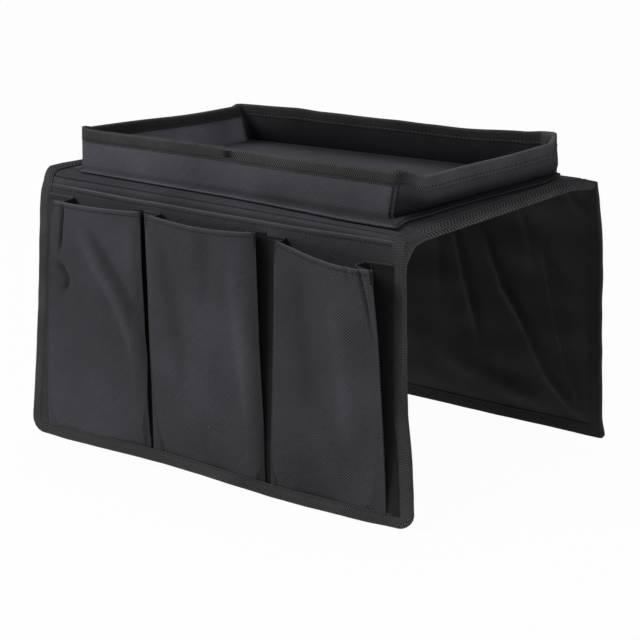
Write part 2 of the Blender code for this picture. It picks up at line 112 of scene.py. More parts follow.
# How the flaps hang: (places, values) along a side or down the flap
RIGHT_DRAW_IN = ((0.0, 0.024, 0.112, 0.145, 0.193), (0.0, 0.0019, 0.0019, 0.0, 0.0))
FRONT_HEM_RISE = ((-0.165, -0.065, 0.085, 0.165), (0.0068, 0.0066, 0.0007, 0.0005))
BACK_HEM_RISE = ((-0.165, -0.03, 0.11, 0.165), (0.003, 0.0023, 0.0, -0.0012))
BACK_BOW_PLACES = (0.0, 0.014, 0.041, 0.068, 0.095, 0.122, 0.149, 0.176, 0.193)
BACK_BOW_OUT = (0.0, 0.0025, 0.0055, 0.0055, 0.0038, 0.0022, 0.0003, -0.0012, 0.0)
BACK_BOW_WIDE = (0.0022, 0.0022, 0.002, 0.0017, 0.0009, 0.0004, -0.0002, -0.0009, 0.0)
# How far the tray's foot and rim have moved at its corners
TRAY_BASE_SHIFT = {(-1, -1): (-0.0026, 0, 0), (1, -1): (-0.007, 0, -0.0003), (1, 1): (0.002, 0.003, 0.0011),
                   (-1, 1): (0, -0.001, -0.004)}
TRAY_RIM_SHIFT = {(-1, -1): (-0.0012, 0, 0.0004), (1, -1): (-0.0022, 0, 0.001), (1, 1): (0.002, 0.001, 0.002),
                  (-1, 1): (-0.007, -0.008, -0.0062)}


def ease(t):
    """Eases from 0 to 1."""
    t = np.clip(t, 0.0, 1.0)
    return t * t * (3 - 2 * t)


def bump(distance, width):
    """1 at no distance, fading out over about twice the width."""
    return np.exp(-((distance / width) ** 2))


def mix(a, b, t):
    return a + (b - a) * t


def follow(table, t):
    """Values that ease from one (place, value) pair of a table to the next."""
    places, values = (np.asarray(part, float) for part in table)
    after = np.clip(np.searchsorted(places, t), 1, len(places) - 1)
    share = (np.asarray(t, float) - places[after - 1]) / (places[after] - places[after - 1])
    return mix(values[after - 1], values[after], ease(share))


def spread(*runs):
    """Numbers through runs of (start, end, steps), each run going on where the last one ends."""
    parts = [np.linspace(a, b, n + 1)[(0 if i == 0 else 1):] for i, (a, b, n) in enumerate(runs)]
    return np.concatenate(parts)


def ripple(u, v, size, seed):
    """Smooth irregular waves from about -1 to 1, some size metres from crest to crest."""
    dice = np.random.RandomState(seed)
    total = 0.0
    for _ in range(8):
        way, near, phase = dice.uniform(0, math.tau), dice.uniform(0.7, 1.7), dice.uniform(0, math.tau)
        step = math.tau / (size * near)
        total = total + np.sin(step * (u * math.cos(way) + v * math.sin(way)) + phase)
    return total / 3.2


def crease(u, v, line, width, height, lean=0.0):
    """A soft ridge of the given height along a line of points, which dies away at its two ends."""
    best, share, sign = np.full(np.shape(u), 1e9), np.zeros(np.shape(u)), np.ones(np.shape(u))
    lengths = [math.dist(a, b) for a, b in zip(line, line[1:])]
    gone = 0.0
    for (a, b), length in zip(zip(line, line[1:]), lengths):
        du, dv = (b[0] - a[0]) / length, (b[1] - a[1]) / length
        along = np.clip((u - a[0]) * du + (v - a[1]) * dv, 0, length)
        off_u, off_v = u - a[0] - du * along, v - a[1] - dv * along
        away = np.hypot(off_u, off_v)
        near = away < best
        best = np.where(near, away, best)
        share = np.where(near, (gone + along) / sum(lengths), share)
        sign = np.where(near, np.sign(off_u * dv - off_v * du), sign)
        gone += length
    ends = ease(share / 0.25) * ease((1 - share) / 0.25)
    return height * ends * bump(best, width) * (1 + lean * sign * best / width)


def corner_mix(table, x_share, y_share):
    """Mixes values given at four corners; the shares run from -1 to 1."""
    total = 0.0
    for (side_x, side_y), value in table.items():
        weight = (1 + side_x * x_share) / 2 * (1 + side_y * y_share) / 2
        total = total + weight[..., None] * np.asarray(value, float) if np.ndim(value) else total + weight * value
    return total


def top_sink(x, y):
    """How far the top panel has settled at a place."""
    x_share, y_share = np.clip(x / TOP_HALF, -1, 1), np.clip(y / TOP_REACH, -1, 1)
    droop = mix(RIGHT_DROOP * ease((x - 0.134) / 0.02), follow(BACK_CORNER_DROOP, x), ease((y - 0.088) / 0.03))
    lift = LEFT_LIFT * ease((-0.134 - x) / 0.02) * ease((0.02 - y) / 0.1)
    lift = lift - follow(FRONT_TROUGH, x) * bump(y + 0.1118, 0.0068)
    return corner_mix(TOP_SINK, x_share, y_share) + droop + lift


def half_width(side, s):
    """Half the saddle's width, s metres from the middle of its top."""
    down = run_down(side, s) / HANG[side]
    return TOP_HALF + (HEM_HALF - TOP_HALF) * down - 0.0012 * np.sin(np.pi * np.clip(down, 0, 1)) ** 2


def fold_length(side):
    return MIDDLE_LAYER * (math.pi / 2 - (BACK_SPLAY if side > 0 else 0.0))


def run_down(side, s):
    """How far down the hanging part a place is."""
    return np.clip(s - FOLD_START - fold_length(side), 0, None)


def hem_at(side):
    return FOLD_START + fold_length(side) + HANG[side]


def saddle(side, x, s, out):
    """Points of the saddle: x across, s metres from the middle of the top, out from the lining's inner face."""
    x, s, out = np.broadcast_arrays(np.asarray(x, float), np.asarray(s, float), np.asarray(out, float))
    splay = BACK_SPLAY if side > 0 else 0.0
    angle = math.pi / 2 - np.clip((s - FOLD_START) / MIDDLE_LAYER, 0, math.pi / 2 - splay)
    run = run_down(side, s)
    bend = (math.pi / 2 - angle) / (math.pi / 2 - splay)
    reach = FOLD_RADIUS + out
    y = np.minimum(s, FOLD_START) + reach * np.cos(angle) + run * math.sin(splay)
    z = reach * np.sin(angle) - FOLD_RADIUS - run * math.cos(splay)
    if side < 0:
        inside = ease((x - 0.14) / 0.009) * np.clip((PANEL - out) / (PANEL + EDGE), 0, 1)
        y, z = y - inside * np.interp(s, *CORNER_IN), z - inside * np.interp(s, *CORNER_DOWN)
        z = z + follow(FRONT_HEM_RISE, x) * run / HANG[side]
        x = x + 0.0022 * ease((-x - 0.13) / 0.024) * bump(s - 0.124, 0.01)
        x = x - follow(RIGHT_DRAW_IN, run) * ease((x - 0.1445) / 0.008)
    else:
        z = z + follow(BACK_HEM_RISE, x) * run / HANG[side]
        y = y + follow((BACK_BOW_PLACES, BACK_BOW_OUT), run)
        x = x + follow((BACK_BOW_PLACES, BACK_BOW_WIDE), run) * ease((x - 0.11) / 0.045) * ease((s - 0.098) / 0.02)
    hung = mix(FLAP_SINK[side][0], FLAP_SINK[side][1], (x / TOP_HALF + 1) / 2) * (1 - run / HANG[side])
    z = z + mix(top_sink(x, side * np.minimum(s, FOLD_START)), hung, ease((bend - 0.15) / 0.85))
    return np.stack([x, side * y, z], axis=-1)


def corner_inset(side, s):
    """How far the cloth draws in at its rounded lower corners."""
    radius = HEM_CORNER[side] - EDGE
    above = np.clip(hem_at(side) - EDGE - s, 0, radius)
    return radius - np.sqrt(np.maximum(radius**2 - (radius - above) ** 2, 0))


def deselect():
    for obj in list(bpy.context.selected_objects):
        obj.select_set(False)


def make_active(obj):
    deselect()
    obj.select_set(True)
    bpy.context.view_layer.objects.active = obj


def cloth(name, points, flat, thick, finish, closed=False, flip=False, painted_shade_and_wear=0.0):
    """Cloth through a net of points (rows, columns), with its flat cut as the UV map and its thickness inwards."""
    painted_shade_and_wear = np.broadcast_to(painted_shade_and_wear, points.shape[:2])
    if flip:
        points, flat, painted_shade_and_wear = points[:, ::-1], flat[:, ::-1], painted_shade_and_wear[:, ::-1]
    rows, columns = points.shape[:2]
    deselect()
    bpy.ops.mesh.primitive_grid_add(x_subdivisions=columns - 1, y_subdivisions=rows - 1, size=2)
    obj = bpy.context.object
    obj.name = obj.data.name = name
    mesh = obj.data
    count = len(mesh.vertices)
    place = np.empty(count * 3)
    mesh.vertices.foreach_get("co", place)
    place = place.reshape(-1, 3)
    column = np.rint((place[:, 0] + 1) / 2 * (columns - 1)).astype(int)
    row = np.rint((place[:, 1] + 1) / 2 * (rows - 1)).astype(int)
    mesh.vertices.foreach_set("co", points[row, column].ravel())
    corners = np.empty(len(mesh.loops), dtype=np.int32)
    mesh.loops.foreach_get("vertex_index", corners)
    mesh.uv_layers[0].data.foreach_set("uv", flat[row, column][corners].ravel())
    # This per-point attribute carries painted shade and painted highlights as well as real wear; the finish scales
    # the colour by it.
    rubbed_and_shaded = mesh.attributes.new("painted_shade_and_wear", "FLOAT", "POINT")
    rubbed_and_shaded.data.foreach_set("value", painted_shade_and_wear[row, column].astype(np.float32))
    mesh.update()
    make_active(obj)
    if closed:
        bpy.ops.object.mode_set(mode="EDIT")
        bpy.ops.mesh.select_all(action="SELECT")
        bpy.ops.mesh.remove_doubles(threshold=0.00001)
        bpy.ops.object.mode_set(mode="OBJECT")
    solid = obj.modifiers.new("thickness", "SOLIDIFY")
    solid.thickness, solid.offset = thick, -1
    bpy.ops.object.modifier_apply(modifier=solid.name)
    bpy.ops.object.shade_smooth_by_angle(angle=math.radians(60))
    obj.data.materials.clear()
    obj.data.materials.append(finish)
    return obj


def rolled_hem(points, flat, depth, radius):
    """Adds a hem at the last row: the cloth turns over its edge and runs back down behind itself."""
    way = np.gradient(points, axis=0)
    side = np.gradient(points, axis=1)
    normal = np.cross(side, way)
    normal /= np.linalg.norm(normal, axis=-1, keepdims=True)
    up = way[-1] / np.linalg.norm(way[-1], axis=-1, keepdims=True)
    rows, cut = [], []
    for turn in np.linspace(0, math.pi, 6)[1:]:
        rows.append(points[-1] - normal[-1] * radius * (1 - math.cos(turn)) + up * radius * math.sin(turn))
        cut.append(flat[-1] + np.array([0, radius * turn]))
    gone = np.cumsum(np.linalg.norm(np.diff(points[::-1], axis=0), axis=-1).mean(axis=1))
    for i, down in enumerate(gone):
        if down > depth:
            break
        rows.append(points[-2 - i] - normal[-2 - i] * radius * 2)
        cut.append(flat[-1] + np.array([0, radius * math.pi + down]))
    return np.concatenate([points, rows]), np.concatenate([flat, cut])


def tape_section(low, high, reach):
    """The tape folded over an edge: distance from the fold, place across the layers, and place along the cut."""
    middle, half = (low + high) / 2, (high - low) / 2
    leg = np.array([1.0, 0.97, 0.9, 0.84, 0.78, 0.7, 0.6, 0.45, 0.3, 0.2])
    pinch = 0.00025 * bump(leg - SEAM_LEG, 0.06) - 0.00015 * np.sin(np.pi * np.clip(1 - leg / SEAM_LEG, 0, 1))
    depth = min(0.0016, 0.19 * reach)
    turn = np.linspace(0, math.pi, 9)
    away = np.concatenate([leg * reach, depth * (1 - np.sin(turn)), leg[::-1] * reach])
    across = np.concatenate([middle + half - pinch, middle + half * np.cos(turn), middle - half + pinch[::-1]])
    along = np.concatenate([[0], np.cumsum(np.hypot(np.diff(away), np.diff(across)))])
    return away, across, along


# Finishes

def feed(tree, node, values):
    """Fills a node's inputs, given by name or number; each value is a constant or a socket to link from."""
    for label, value in dict(values).items():
        if isinstance(value, bpy.types.NodeSocket):
            tree.links.new(value, node.inputs[label])
        else:
            node.inputs[label].default_value = value
    return node


def add_node(tree, kind, values=(), **settings):
    """A new shader node with its settings and inputs."""
    node = tree.nodes.new("ShaderNode" + kind)
    for label, value in settings.items():
        setattr(node, label, value)
    return feed(tree, node, values)


def calc(tree, operation, *values):
    """The result of a Math node; each value is a number or a socket."""
    return add_node(tree, "Math", enumerate(values), operation=operation).outputs[0]


def blend_colour(tree, share, first, second):
    """The result of a Mix node; each colour is three numbers or a socket."""
    first, second = ((*colour, 1.0) if isinstance(colour, tuple) else colour for colour in (first, second))
    return add_node(tree, "Mix", {0: share, 6: first, 7: second}, data_type="RGBA").outputs[2]


def noise(tree, vector, scale, detail):
    return add_node(tree, "TexNoise", {"Vector": vector, "Scale": scale, "Detail": detail}).outputs["Fac"]


def new_group(name, inputs, outputs):
    """An empty shader group, with inputs as (name, default) and number outputs; gives it, its inputs and its end."""
    group = bpy.data.node_groups.new(name, "ShaderNodeTree")
    group.interface.new_socket("Vector", in_out="INPUT", socket_type="NodeSocketVector")
    for label, default in inputs:
        group.interface.new_socket(label, in_out="INPUT", socket_type="NodeSocketFloat").default_value = default
    for label in outputs:
        group.interface.new_socket(label, in_out="OUTPUT", socket_type="NodeSocketFloat")
    return group, group.nodes.new("NodeGroupInput").outputs, group.nodes.new("NodeGroupOutput")


STRIPE_START = 0.9009
YARN_RUN = 14.0


def weave_group():
    """Twill: ridge height and how light each yarn is; Chevron is how wide a stripe keeps its slant."""
    group, given, end = new_group(
        "twill_weave", [("Yarn", 0.0005), ("Pick", 0.0006), ("Repeat", 4.0), ("Edge", 0.5), ("Width", 0.5),
                        ("Chevron", 10.0)], ("Height", "Yarn Shade"))
    do = partial(calc, group)
    split = add_node(group, "SeparateXYZ", {0: given["Vector"]})
    u = do("DIVIDE", do("PINGPONG", do("ADD", split.outputs[0], STRIPE_START), given["Chevron"]), given["Yarn"])
    v = do("DIVIDE", split.outputs[1], given["Pick"])
    turn = do("MULTIPLY", do("DIVIDE", do("SUBTRACT", u, v), given["Repeat"]), math.tau)
    wale = do("ADD", do("MULTIPLY", do("COSINE", turn), given["Edge"]), given["Width"])
    wale = do("MAXIMUM", do("MINIMUM", wale, 1.0), 0.0)
    ridges = []
    for value in (u, v):
        centred = do("SUBTRACT", do("MULTIPLY", do("FRACT", value), 2.0), 1.0)
        ridges.append(do("SUBTRACT", 1.0, do("MULTIPLY", centred, centred)))
    high = do("MULTIPLY", do("ADD", do("MULTIPLY", ridges[0], 0.4), 0.6), wale)
    low = do("MULTIPLY", do("MULTIPLY", ridges[1], 0.18), do("SUBTRACT", 1.0, wale))
    place = add_node(group, "CombineXYZ", {0: do("FLOOR", do("DIVIDE", turn, math.tau)),
                                           1: do("FLOOR", do("DIVIDE", v, YARN_RUN))})
    dice = add_node(group, "TexWhiteNoise", {"Vector": place.outputs[0]}, noise_dimensions="2D")
    feed(group, end, {"Height": do("ADD", high, low), "Yarn Shade": dice.outputs["Value"]})
    return group


def handling_group():
    """What use does to dark cloth: faded clouds, a little lint and slack."""
    group, given, end = new_group("handling", [("Cloud Size", 18.0)], ("Fade", "Lint", "Slack"))
    do = partial(calc, group)
    cloud = noise(group, given["Vector"], given["Cloud Size"], 3.0)
    lint = do("MULTIPLY", do("SUBTRACT", noise(group, given["Vector"], 420.0, 0.0), 0.86), 6.0)
    feed(group, end, {"Fade": do("MULTIPLY", do("SUBTRACT", cloud, 0.35), 1.6), "Lint": do("MAXIMUM", lint, 0.0),
                      "Slack": noise(group, given["Vector"], 55.0, 2.0)})
    return group


WEAVE = weave_group()
HANDLING = handling_group()
MEAN_HEIGHT = 0.43
CALM_REACH = 0.15
SLACK = 0.0003


def cloth_finish(name, deep, light, yarn, pick, repeat=4.0, edge=0.5, width=0.5, chevron=10.0, rough=0.8,
                 sheen=0.08, relief=0.00014, cloud=18.0, specular=0.3, calm=1.0):
    """Woven cloth: yarns from the weave group on the UV map, clouds and lint from the handling group, and a per-point
    attribute that scales the colour, carrying painted shade and painted highlights as well as rubbed edges.
    The weave is worn smoother towards the left: calm is how much of its contrast is left there."""
    material = bpy.data.materials.new(name)
    material.use_nodes = True
    tree = material.node_tree
    do = partial(calc, tree)
    cut = add_node(tree, "UVMap", uv_map="UVMap").outputs["UV"]
    place = add_node(tree, "TexCoord").outputs["Object"]
    weave = add_node(tree, "Group", {"Vector": cut, "Yarn": yarn, "Pick": pick, "Repeat": repeat, "Edge": edge,
                                     "Width": width, "Chevron": chevron}, node_tree=WEAVE).outputs
    use = add_node(tree, "Group", {"Vector": place, "Cloud Size": cloud}, node_tree=HANDLING).outputs
    height = weave["Height"]
    if calm < 1:
        across = add_node(tree, "SeparateXYZ", {0: place}).outputs[0]
        gain = add_node(tree, "MapRange", {"Value": across, "From Min": -CALM_REACH, "From Max": CALM_REACH,
                                           "To Min": calm, "To Max": 1.0}).outputs[0]
        height = do("ADD", do("MULTIPLY", do("SUBTRACT", height, MEAN_HEIGHT), gain), MEAN_HEIGHT)
    # The colour mixes from deep to light by the weave's height, so the hollows between the ridges carry painted
    # shade; the yarn tone and faded clouds are the cloth's own.
    lit = do("ADD", do("MULTIPLY", do("SUBTRACT", weave["Yarn Shade"], 0.5), 0.05), do("MULTIPLY", height, 0.92))
    lit = do("ADD", lit, do("MULTIPLY", do("SUBTRACT", use["Fade"], 0.25), 0.25))
    colour = blend_colour(tree, do("MAXIMUM", lit, 0.0), deep, light)
    colour = blend_colour(tree, do("MULTIPLY", use["Lint"], 0.3), colour,
                          tuple(min(1.0, 2.0 * part + 0.03) for part in light))
    # Scales the colour by the per-point attribute: painted shade and painted highlights, with some real wear.
    painted_shade_and_wear = add_node(tree, "Attribute", attribute_name="painted_shade_and_wear").outputs["Fac"]
    rubbed_and_shaded = add_node(tree, "VectorMath", {0: colour, "Scale": do("MAXIMUM", do("ADD", painted_shade_and_wear, 1.0), 0.0)},
                      operation="SCALE")
    broad = add_node(tree, "Bump", {"Distance": SLACK, "Strength": 1.0, "Height": use["Slack"]})
    fine = add_node(tree, "Bump", {"Distance": relief, "Strength": 1.0, "Height": weave["Height"],
                                   "Normal": broad.outputs["Normal"]})
    feed(tree, tree.nodes["Principled BSDF"], {
        "Base Color": rubbed_and_shaded.outputs[0], "Normal": fine.outputs["Normal"], "Specular IOR Level": specular,
        "Roughness": do("ADD", rough, do("MULTIPLY", do("SUBTRACT", use["Fade"], 0.4), -0.12)),
        "Sheen Weight": sheen, "Sheen Roughness": 0.4, "Sheen Tint": (0.75, 0.78, 0.9, 1.0)})
    return material


BLACK = (0.0, 0.0, 0.0)
FADED = (0.096, 0.095, 0.113)
YARN = 0.00052
TAPE_LOOK = {"chevron": 0.0045, "rough": 0.85, "sheen": 0.05}
THREAD_LOOK = {"yarn": 0.00016, "pick": 0.00016, "repeat": 2.0, "rough": 0.5, "sheen": 0.02, "relief": 0.00004,
               "specular": 0.4}
OXFORD = cloth_finish("black_oxford", BLACK, FADED, YARN, YARN, edge=0.3, width=0.42, relief=0.0001, calm=0.6)
POCKET = cloth_finish("black_pocket_oxford", BLACK, (0.097, 0.095, 0.112), YARN, YARN, edge=0.42, width=0.42,
                      relief=0.0001, cloud=12.0, calm=0.45)
INSIDE = cloth_finish("black_inside_oxford", BLACK, FADED, YARN, YARN, edge=0.3, width=0.42, relief=0.0001,
                      sheen=0.0, specular=0.12)
LININGS = cloth_finish("dark_lining", (0.0008, 0.0007, 0.0006), (0.0085, 0.0078, 0.0074), YARN, 0.00058, edge=0.8,
                       rough=0.62, sheen=0.0, relief=0.00012, cloud=25.0, specular=0.22)
TAPES = cloth_finish("herringbone_tape", BLACK, (0.098, 0.098, 0.101), 0.0005, 0.00043, edge=0.75, width=0.33,
                     relief=0.0002, **TAPE_LOOK)
BOLD_TAPES = cloth_finish("bold_herringbone_tape", BLACK, (0.125, 0.125, 0.128), 0.0007, 0.00098, edge=1.1,
                          width=0.1, relief=0.0004, **TAPE_LOOK)
THREADS = cloth_finish("black_thread", (0.003, 0.003, 0.004), (0.018, 0.018, 0.02), **THREAD_LOOK)
PALE_THREADS = cloth_finish("grey_thread", (0.05, 0.05, 0.05), (0.13, 0.13, 0.13), **THREAD_LOOK)
BOARDS = cloth_finish("grey_board", (0.26, 0.25, 0.23), (0.34, 0.33, 0.31), 0.0011, 0.0011, repeat=2.0,
                      rough=0.7, sheen=0.0, relief=0.00002)

# Stitches

def stitch_model():
    """One stitch of thread, along x, a little sunk: its points and faces."""
    deselect()
    bpy.ops.mesh.primitive_uv_sphere_add(segments=6, ring_count=5, radius=0.5)
    stitch = bpy.context.object
    stitch.rotation_euler = (0.0, math.pi / 2, 0.0)
    bpy.ops.object.transform_apply(location=False, rotation=True, scale=False)
    stitch.scale = (STITCH_LENGTH, THREAD, THREAD)
    bpy.ops.object.transform_apply(location=False, rotation=False, scale=True)
    points = np.array([vertex.co[:] for vertex in stitch.data.vertices])
    faces = [list(face.vertices) for face in stitch.data.polygons]
    bpy.data.objects.remove(stitch)
    # Blender makes a sphere's faces in no fixed order, so they are put in one
    firsts = [face.index(min(face)) for face in faces]
    return points, sorted(tuple(face[first:] + face[:first]) for face, first in zip(faces, firsts))


STITCH_POINTS, STITCH_FACES = stitch_model()


def line_on(points, index, along_rows, face):
    """A line over a net at a row or column (parts count too), with its outward direction: face gives its sign."""
    net = points if along_rows else points.transpose(1, 0, 2)
    low = min(int(index), len(net) - 2)
    path = mix(net[low], net[low + 1], index - low)
    out = np.cross(np.gradient(path, axis=0), net[low + 1] - net[low])
    out /= np.maximum(np.linalg.norm(out, axis=1, keepdims=True), 1e-12)
    return path, out * face


def at_place(place, gone, values):
    """Values at a distance along a path."""
    return np.array([np.interp(place, gone, values[:, i]) for i in range(3)])


def stitch_rows(name, rows, finish):
    """Rows of stitches as one piece; each row is (points, outward directions)."""
    verts, faces = [], []
    for path, out in rows:
        gone = np.concatenate([[0], np.cumsum(np.linalg.norm(np.diff(path, axis=0), axis=1))])
        for place in np.arange(STITCH_PITCH / 2, gone[-1] - STITCH_PITCH / 2, STITCH_PITCH):
            centre = at_place(place, gone, path)
            along = at_place(place + STITCH_PITCH / 3, gone, path) - centre
            along /= np.linalg.norm(along)
            up = at_place(place, gone, out)
            up -= along * up.dot(along)
            up /= np.linalg.norm(up)
            turned = STITCH_POINTS @ np.stack([along, np.cross(up, along), up])
            first = len(verts)
            verts.extend(centre + up * THREAD * 0.2 + turned)
            faces.extend(tuple(first + corner for corner in face) for face in STITCH_FACES)
    mesh = bpy.data.meshes.new(name)
    mesh.from_pydata([tuple(point) for point in verts], [], faces)
    mesh.uv_layers.new(name="UVMap")
    obj = bpy.data.objects.new(name, mesh)
    bpy.context.collection.objects.link(obj)
    make_active(obj)
    bpy.ops.object.shade_smooth()
    mesh.materials.append(finish)
    return obj


# Panels

def cover_half(side, s):
    return half_width(side, s) - EDGE - corner_inset(side, s)


def panel_sheet(name, side, s_rows, columns, out, thick, finish, inner=False, half=None, shape=None, painted_shade_and_wear=0.0):
    """A sheet that follows the saddle from its split to its hem."""
    share = np.linspace(-1, 1, columns)
    s = np.repeat(s_rows[:, None], columns, axis=1)
    x = share[None, :] * (cover_half if half is None else half)(side, s)
    lift = 0.0 if shape is None else shape(side, x, s)
    points = saddle(side, x, s, out + lift)
    flat = np.stack([x, -s], axis=-1)
    return cloth(name, points, flat, thick, finish, flip=(side < 0) != inner, painted_shade_and_wear=painted_shade_and_wear)


def fold_row(side):
    """The row of stitches along a fold."""
    x = np.linspace(-FOLD_STITCH_HALF, FOLD_STITCH_HALF, 90)
    path = saddle(side, x, FOLD_STITCH, PANEL)
    out = saddle(side, x, FOLD_STITCH, PANEL + 0.001) - path
    return path, out / np.linalg.norm(out, axis=1, keepdims=True)


def saddle_rows(side, start, end):
    """Places along the saddle, close together at the fold's stitches and at the hem."""
    fold_end = FOLD_START + fold_length(side)
    before, after = FOLD_STITCH - 0.0012, FOLD_STITCH + 0.0012
    return spread((start, FOLD_START, 8), (FOLD_START, before, 6), (before, after, 8), (after, fold_end, 5),
                  (fold_end, end - 0.012, 90), (end - 0.012, end, 12))


def seam_line(distance):
    """1 on a line of stitches, fading to 0 within a millimetre of it."""
    return bump(distance, 0.0006)


def blend_flap(obj):
    """Bakes a piece's place and turn into its points."""
    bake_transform(obj)


LINING_COLUMNS = 170
# The back lining's folds lean towards its lower right corner: places (across, down), width and height
LINING_FOLDS = (
    ([(0.03, 0.04), (0.042, 0.087), (0.052, 0.116), (0.058, 0.145)], 0.0034, -0.0019),
    ([(0.055, 0.04), (0.076, 0.089), (0.092, 0.11), (0.116, 0.152), (0.154, 0.187)], 0.0034, -0.0028),
    ([(0.107, 0.04), (0.119, 0.095), (0.133, 0.142), (0.152, 0.186)], 0.003, -0.0024),
    ([(0.128, 0.002), (0.136, 0.016), (0.149, 0.034)], 0.0028, -0.0016),
    ([(0.112, 0.06), (0.124, 0.078), (0.131, 0.1)], 0.0026, -0.0012),
    ([(0.088, 0.02), (0.098, 0.05), (0.101, 0.078)], 0.004, -0.0012),
    ([(0.01, 0.02), (0.018, 0.06), (0.02, 0.11)], 0.004, -0.001),
    ([(0.01, 0.15), (0.06, 0.163), (0.12, 0.178)], 0.008, -0.0014),
    ([(-0.12, 0.03), (-0.09, 0.09), (-0.05, 0.17)], 0.006, -0.0018),
)


def lining_wrinkles(side, x, s):
    """How the linings stand off a flap's boards."""
    if side < 0:
        return 0.0002 * ripple(x, s, 0.05, 3)
    d = run_down(side, s)
    lift = 0.0
    for line, width, height in LINING_FOLDS:
        lift = lift + crease(x, d, line, width, 1.1 * height, lean=0.5)
    lift = lift - 0.0005 * (1 + ripple(x, d, 0.045, 5)) * ease(d / 0.03)
    edge = np.minimum(half_width(side, s) - np.abs(x) - TAPE_FOLD, hem_at(side) - s - TAPE_FOLD)
    return lift * ease(edge / 0.012)


def lay_flap(side):
    """A flap's cover, lining, board and the stitches of its fold."""
    label = FLAPS[side].split("_")[0]
    hem = hem_at(side) - EDGE
    rows = saddle_rows(side, SPLIT[side], hem)
    # The cover gets painted shade along its fold's stitch line.
    cover = panel_sheet(label + "_cover_cloth", side, rows, 90, PANEL, CLOTH, OXFORD,
                        shape=lambda side, x, s: -0.0003 * seam_line(s - FOLD_STITCH),
                        painted_shade_and_wear=-0.75 * seam_line(rows - FOLD_STITCH)[:, None])
    lined = np.linspace(-1, 1, LINING_COLUMNS)[None, :]
    # Painted light on the linings: lighter towards the right and towards the hem, a little darker elsewhere.
    painted_lining_light = 2.6 * ease((lined - 0.48) / 0.25) + 0.6 * ease((rows[:, None] - 0.24) / 0.04) - 0.25
    lining = panel_sheet(label + "_lining_cloth", side, rows, LINING_COLUMNS, 0.0, LINING, LININGS,
                         inner=True, shape=lining_wrinkles, painted_shade_and_wear=painted_lining_light)
    for obj, kind in ((cover, "cover"), (lining, "lining")):
        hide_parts(f"{label}_{kind}", f"{label}_fold_{kind}")
        blend_flap(obj)
    board_rows = spread((FOLD_START + fold_length(side) + 0.0022, hem - 0.002, 40))
    board = panel_sheet(label + "_stiffener", side, board_rows, 30, BOARD_IN + BOARD, BOARD, BOARDS,
                        half=lambda side, s: cover_half(side, s) - 0.0014)
    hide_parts(label + "_board")
    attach(board, FLAPS[side])
    blend_flap(stitch_rows(label + "_fold_stitches", [fold_row(side)], THREADS))


for side in (-1, 1):
    lay_flap(side)


def top_net(half, start, end, columns, rows, out, lift=None):
    """Points and cut of a sheet of the top panel."""
    x = np.linspace(-half, half, columns)[None, :] * np.ones((rows, 1))
    y = np.linspace(start, end, rows)[:, None] * np.ones((1, columns))
    rise = 0.0 if lift is None else lift(x, y)
    return np.stack([x, y, out + rise + top_sink(x, y)], axis=-1), np.stack([x, y], axis=-1)


def tray_floor_lift(x, y):
    """The tray's floor is gently bulged between its walls."""
    free = np.minimum(TRAY_HALF - np.abs(x), np.minimum(y - TRAY_FRONT, TRAY_BACK - y)) - TRAY_WALL
    return (0.0012 + 0.0005 * ripple(x, y, 0.09, 11)) * ease(free / 0.05) * (free > 0)


def top_painted_shade(x, y):
    """Painted light and shade on the top: lighter at its left edge, painted shade towards its right and on the strip
    beyond the tray, painted light on the tray's floor towards the front and a painted shadow on it at the back.
    """
    shade = 0.9 * ease((-0.128 - x) / 0.01) - 0.25 * ease((x - 0.06) / 0.08)
    shade = shade - 0.25 * ease((x - 0.13) / 0.006) * ease((y + 0.11) / 0.05)
    inside = ease((0.133 - np.abs(x)) / 0.004) * (y > -0.1)
    return shade + inside * (0.25 * ease((0.075 - y) / 0.06) - 0.88 * ease((y - 0.058) / 0.03))


top_size = (TOP_HALF - EDGE, -SPLIT[-1], SPLIT[1])
points, flat = top_net(*top_size, 90, 60, PANEL, tray_floor_lift)
top_cloth = cloth("top_cover_cloth", points, flat, CLOTH, OXFORD,
                  painted_shade_and_wear=top_painted_shade(points[..., 0], points[..., 1]))
points, flat = top_net(*top_size, 60, 40, 0.0)
under_cloth = cloth("top_lining_cloth", points, flat, LINING, LININGS, flip=True)
points, flat = top_net(TOP_HALF - 0.0019, -BOARD_END, BOARD_END, 30, 30, BOARD_IN + BOARD)
top_board = cloth("top_stiffener", points, flat, BOARD, BOARDS)
for obj, node in ((top_cloth, "top_cover"), (under_cloth, "top_lining"), (top_board, "top_board")):
    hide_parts(node)
    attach(obj, "top")

# Binding tape round the edges

def edge_line(side, inset):
    """Across and along places of the saddle's edge, moved in by inset: down the left, round the hem, up the right."""
    radius = max(HEM_CORNER[side], inset + 0.0005)
    hem = hem_at(side)
    rows = spread((SPLIT[side], FOLD_START, 6), (FOLD_START, FOLD_START + fold_length(side), 14),
                  (FOLD_START + fold_length(side), hem - radius, 64))
    down = half_width(side, rows) - inset
    low = half_width(side, np.array(hem - radius)) - radius
    turn = np.linspace(0, math.pi / 2, 13)[1:]
    arc_x = low + (radius - inset) * np.cos(turn)
    arc_s = hem - radius + (radius - inset) * np.sin(turn)
    base = np.linspace(-low, low, 108)[1:-1]
    x = np.concatenate([-down, -arc_x, base, arc_x[::-1], down[::-1]])
    s = np.concatenate([rows, arc_s, np.full(len(base), hem - inset), arc_s[::-1], rows[::-1]])
    return x, s


def tape_high(side, x, s):
    """The outer face that the tape lies on: thicker over the pockets."""
    if side > 0:
        return np.full(np.shape(s), PANEL)
    over = ease((s - FOLD_START - fold_length(side)) / 0.006)
    at_hem = ease((s - hem_at(side) + 0.016) / 0.006) * ease((0.156 - np.abs(x)) / 0.03)
    return PANEL + (POCKET_PACK - PANEL) * over + 0.0022 * at_hem


OUTER_STITCH = 3.0
INNER_STITCH = 25.0
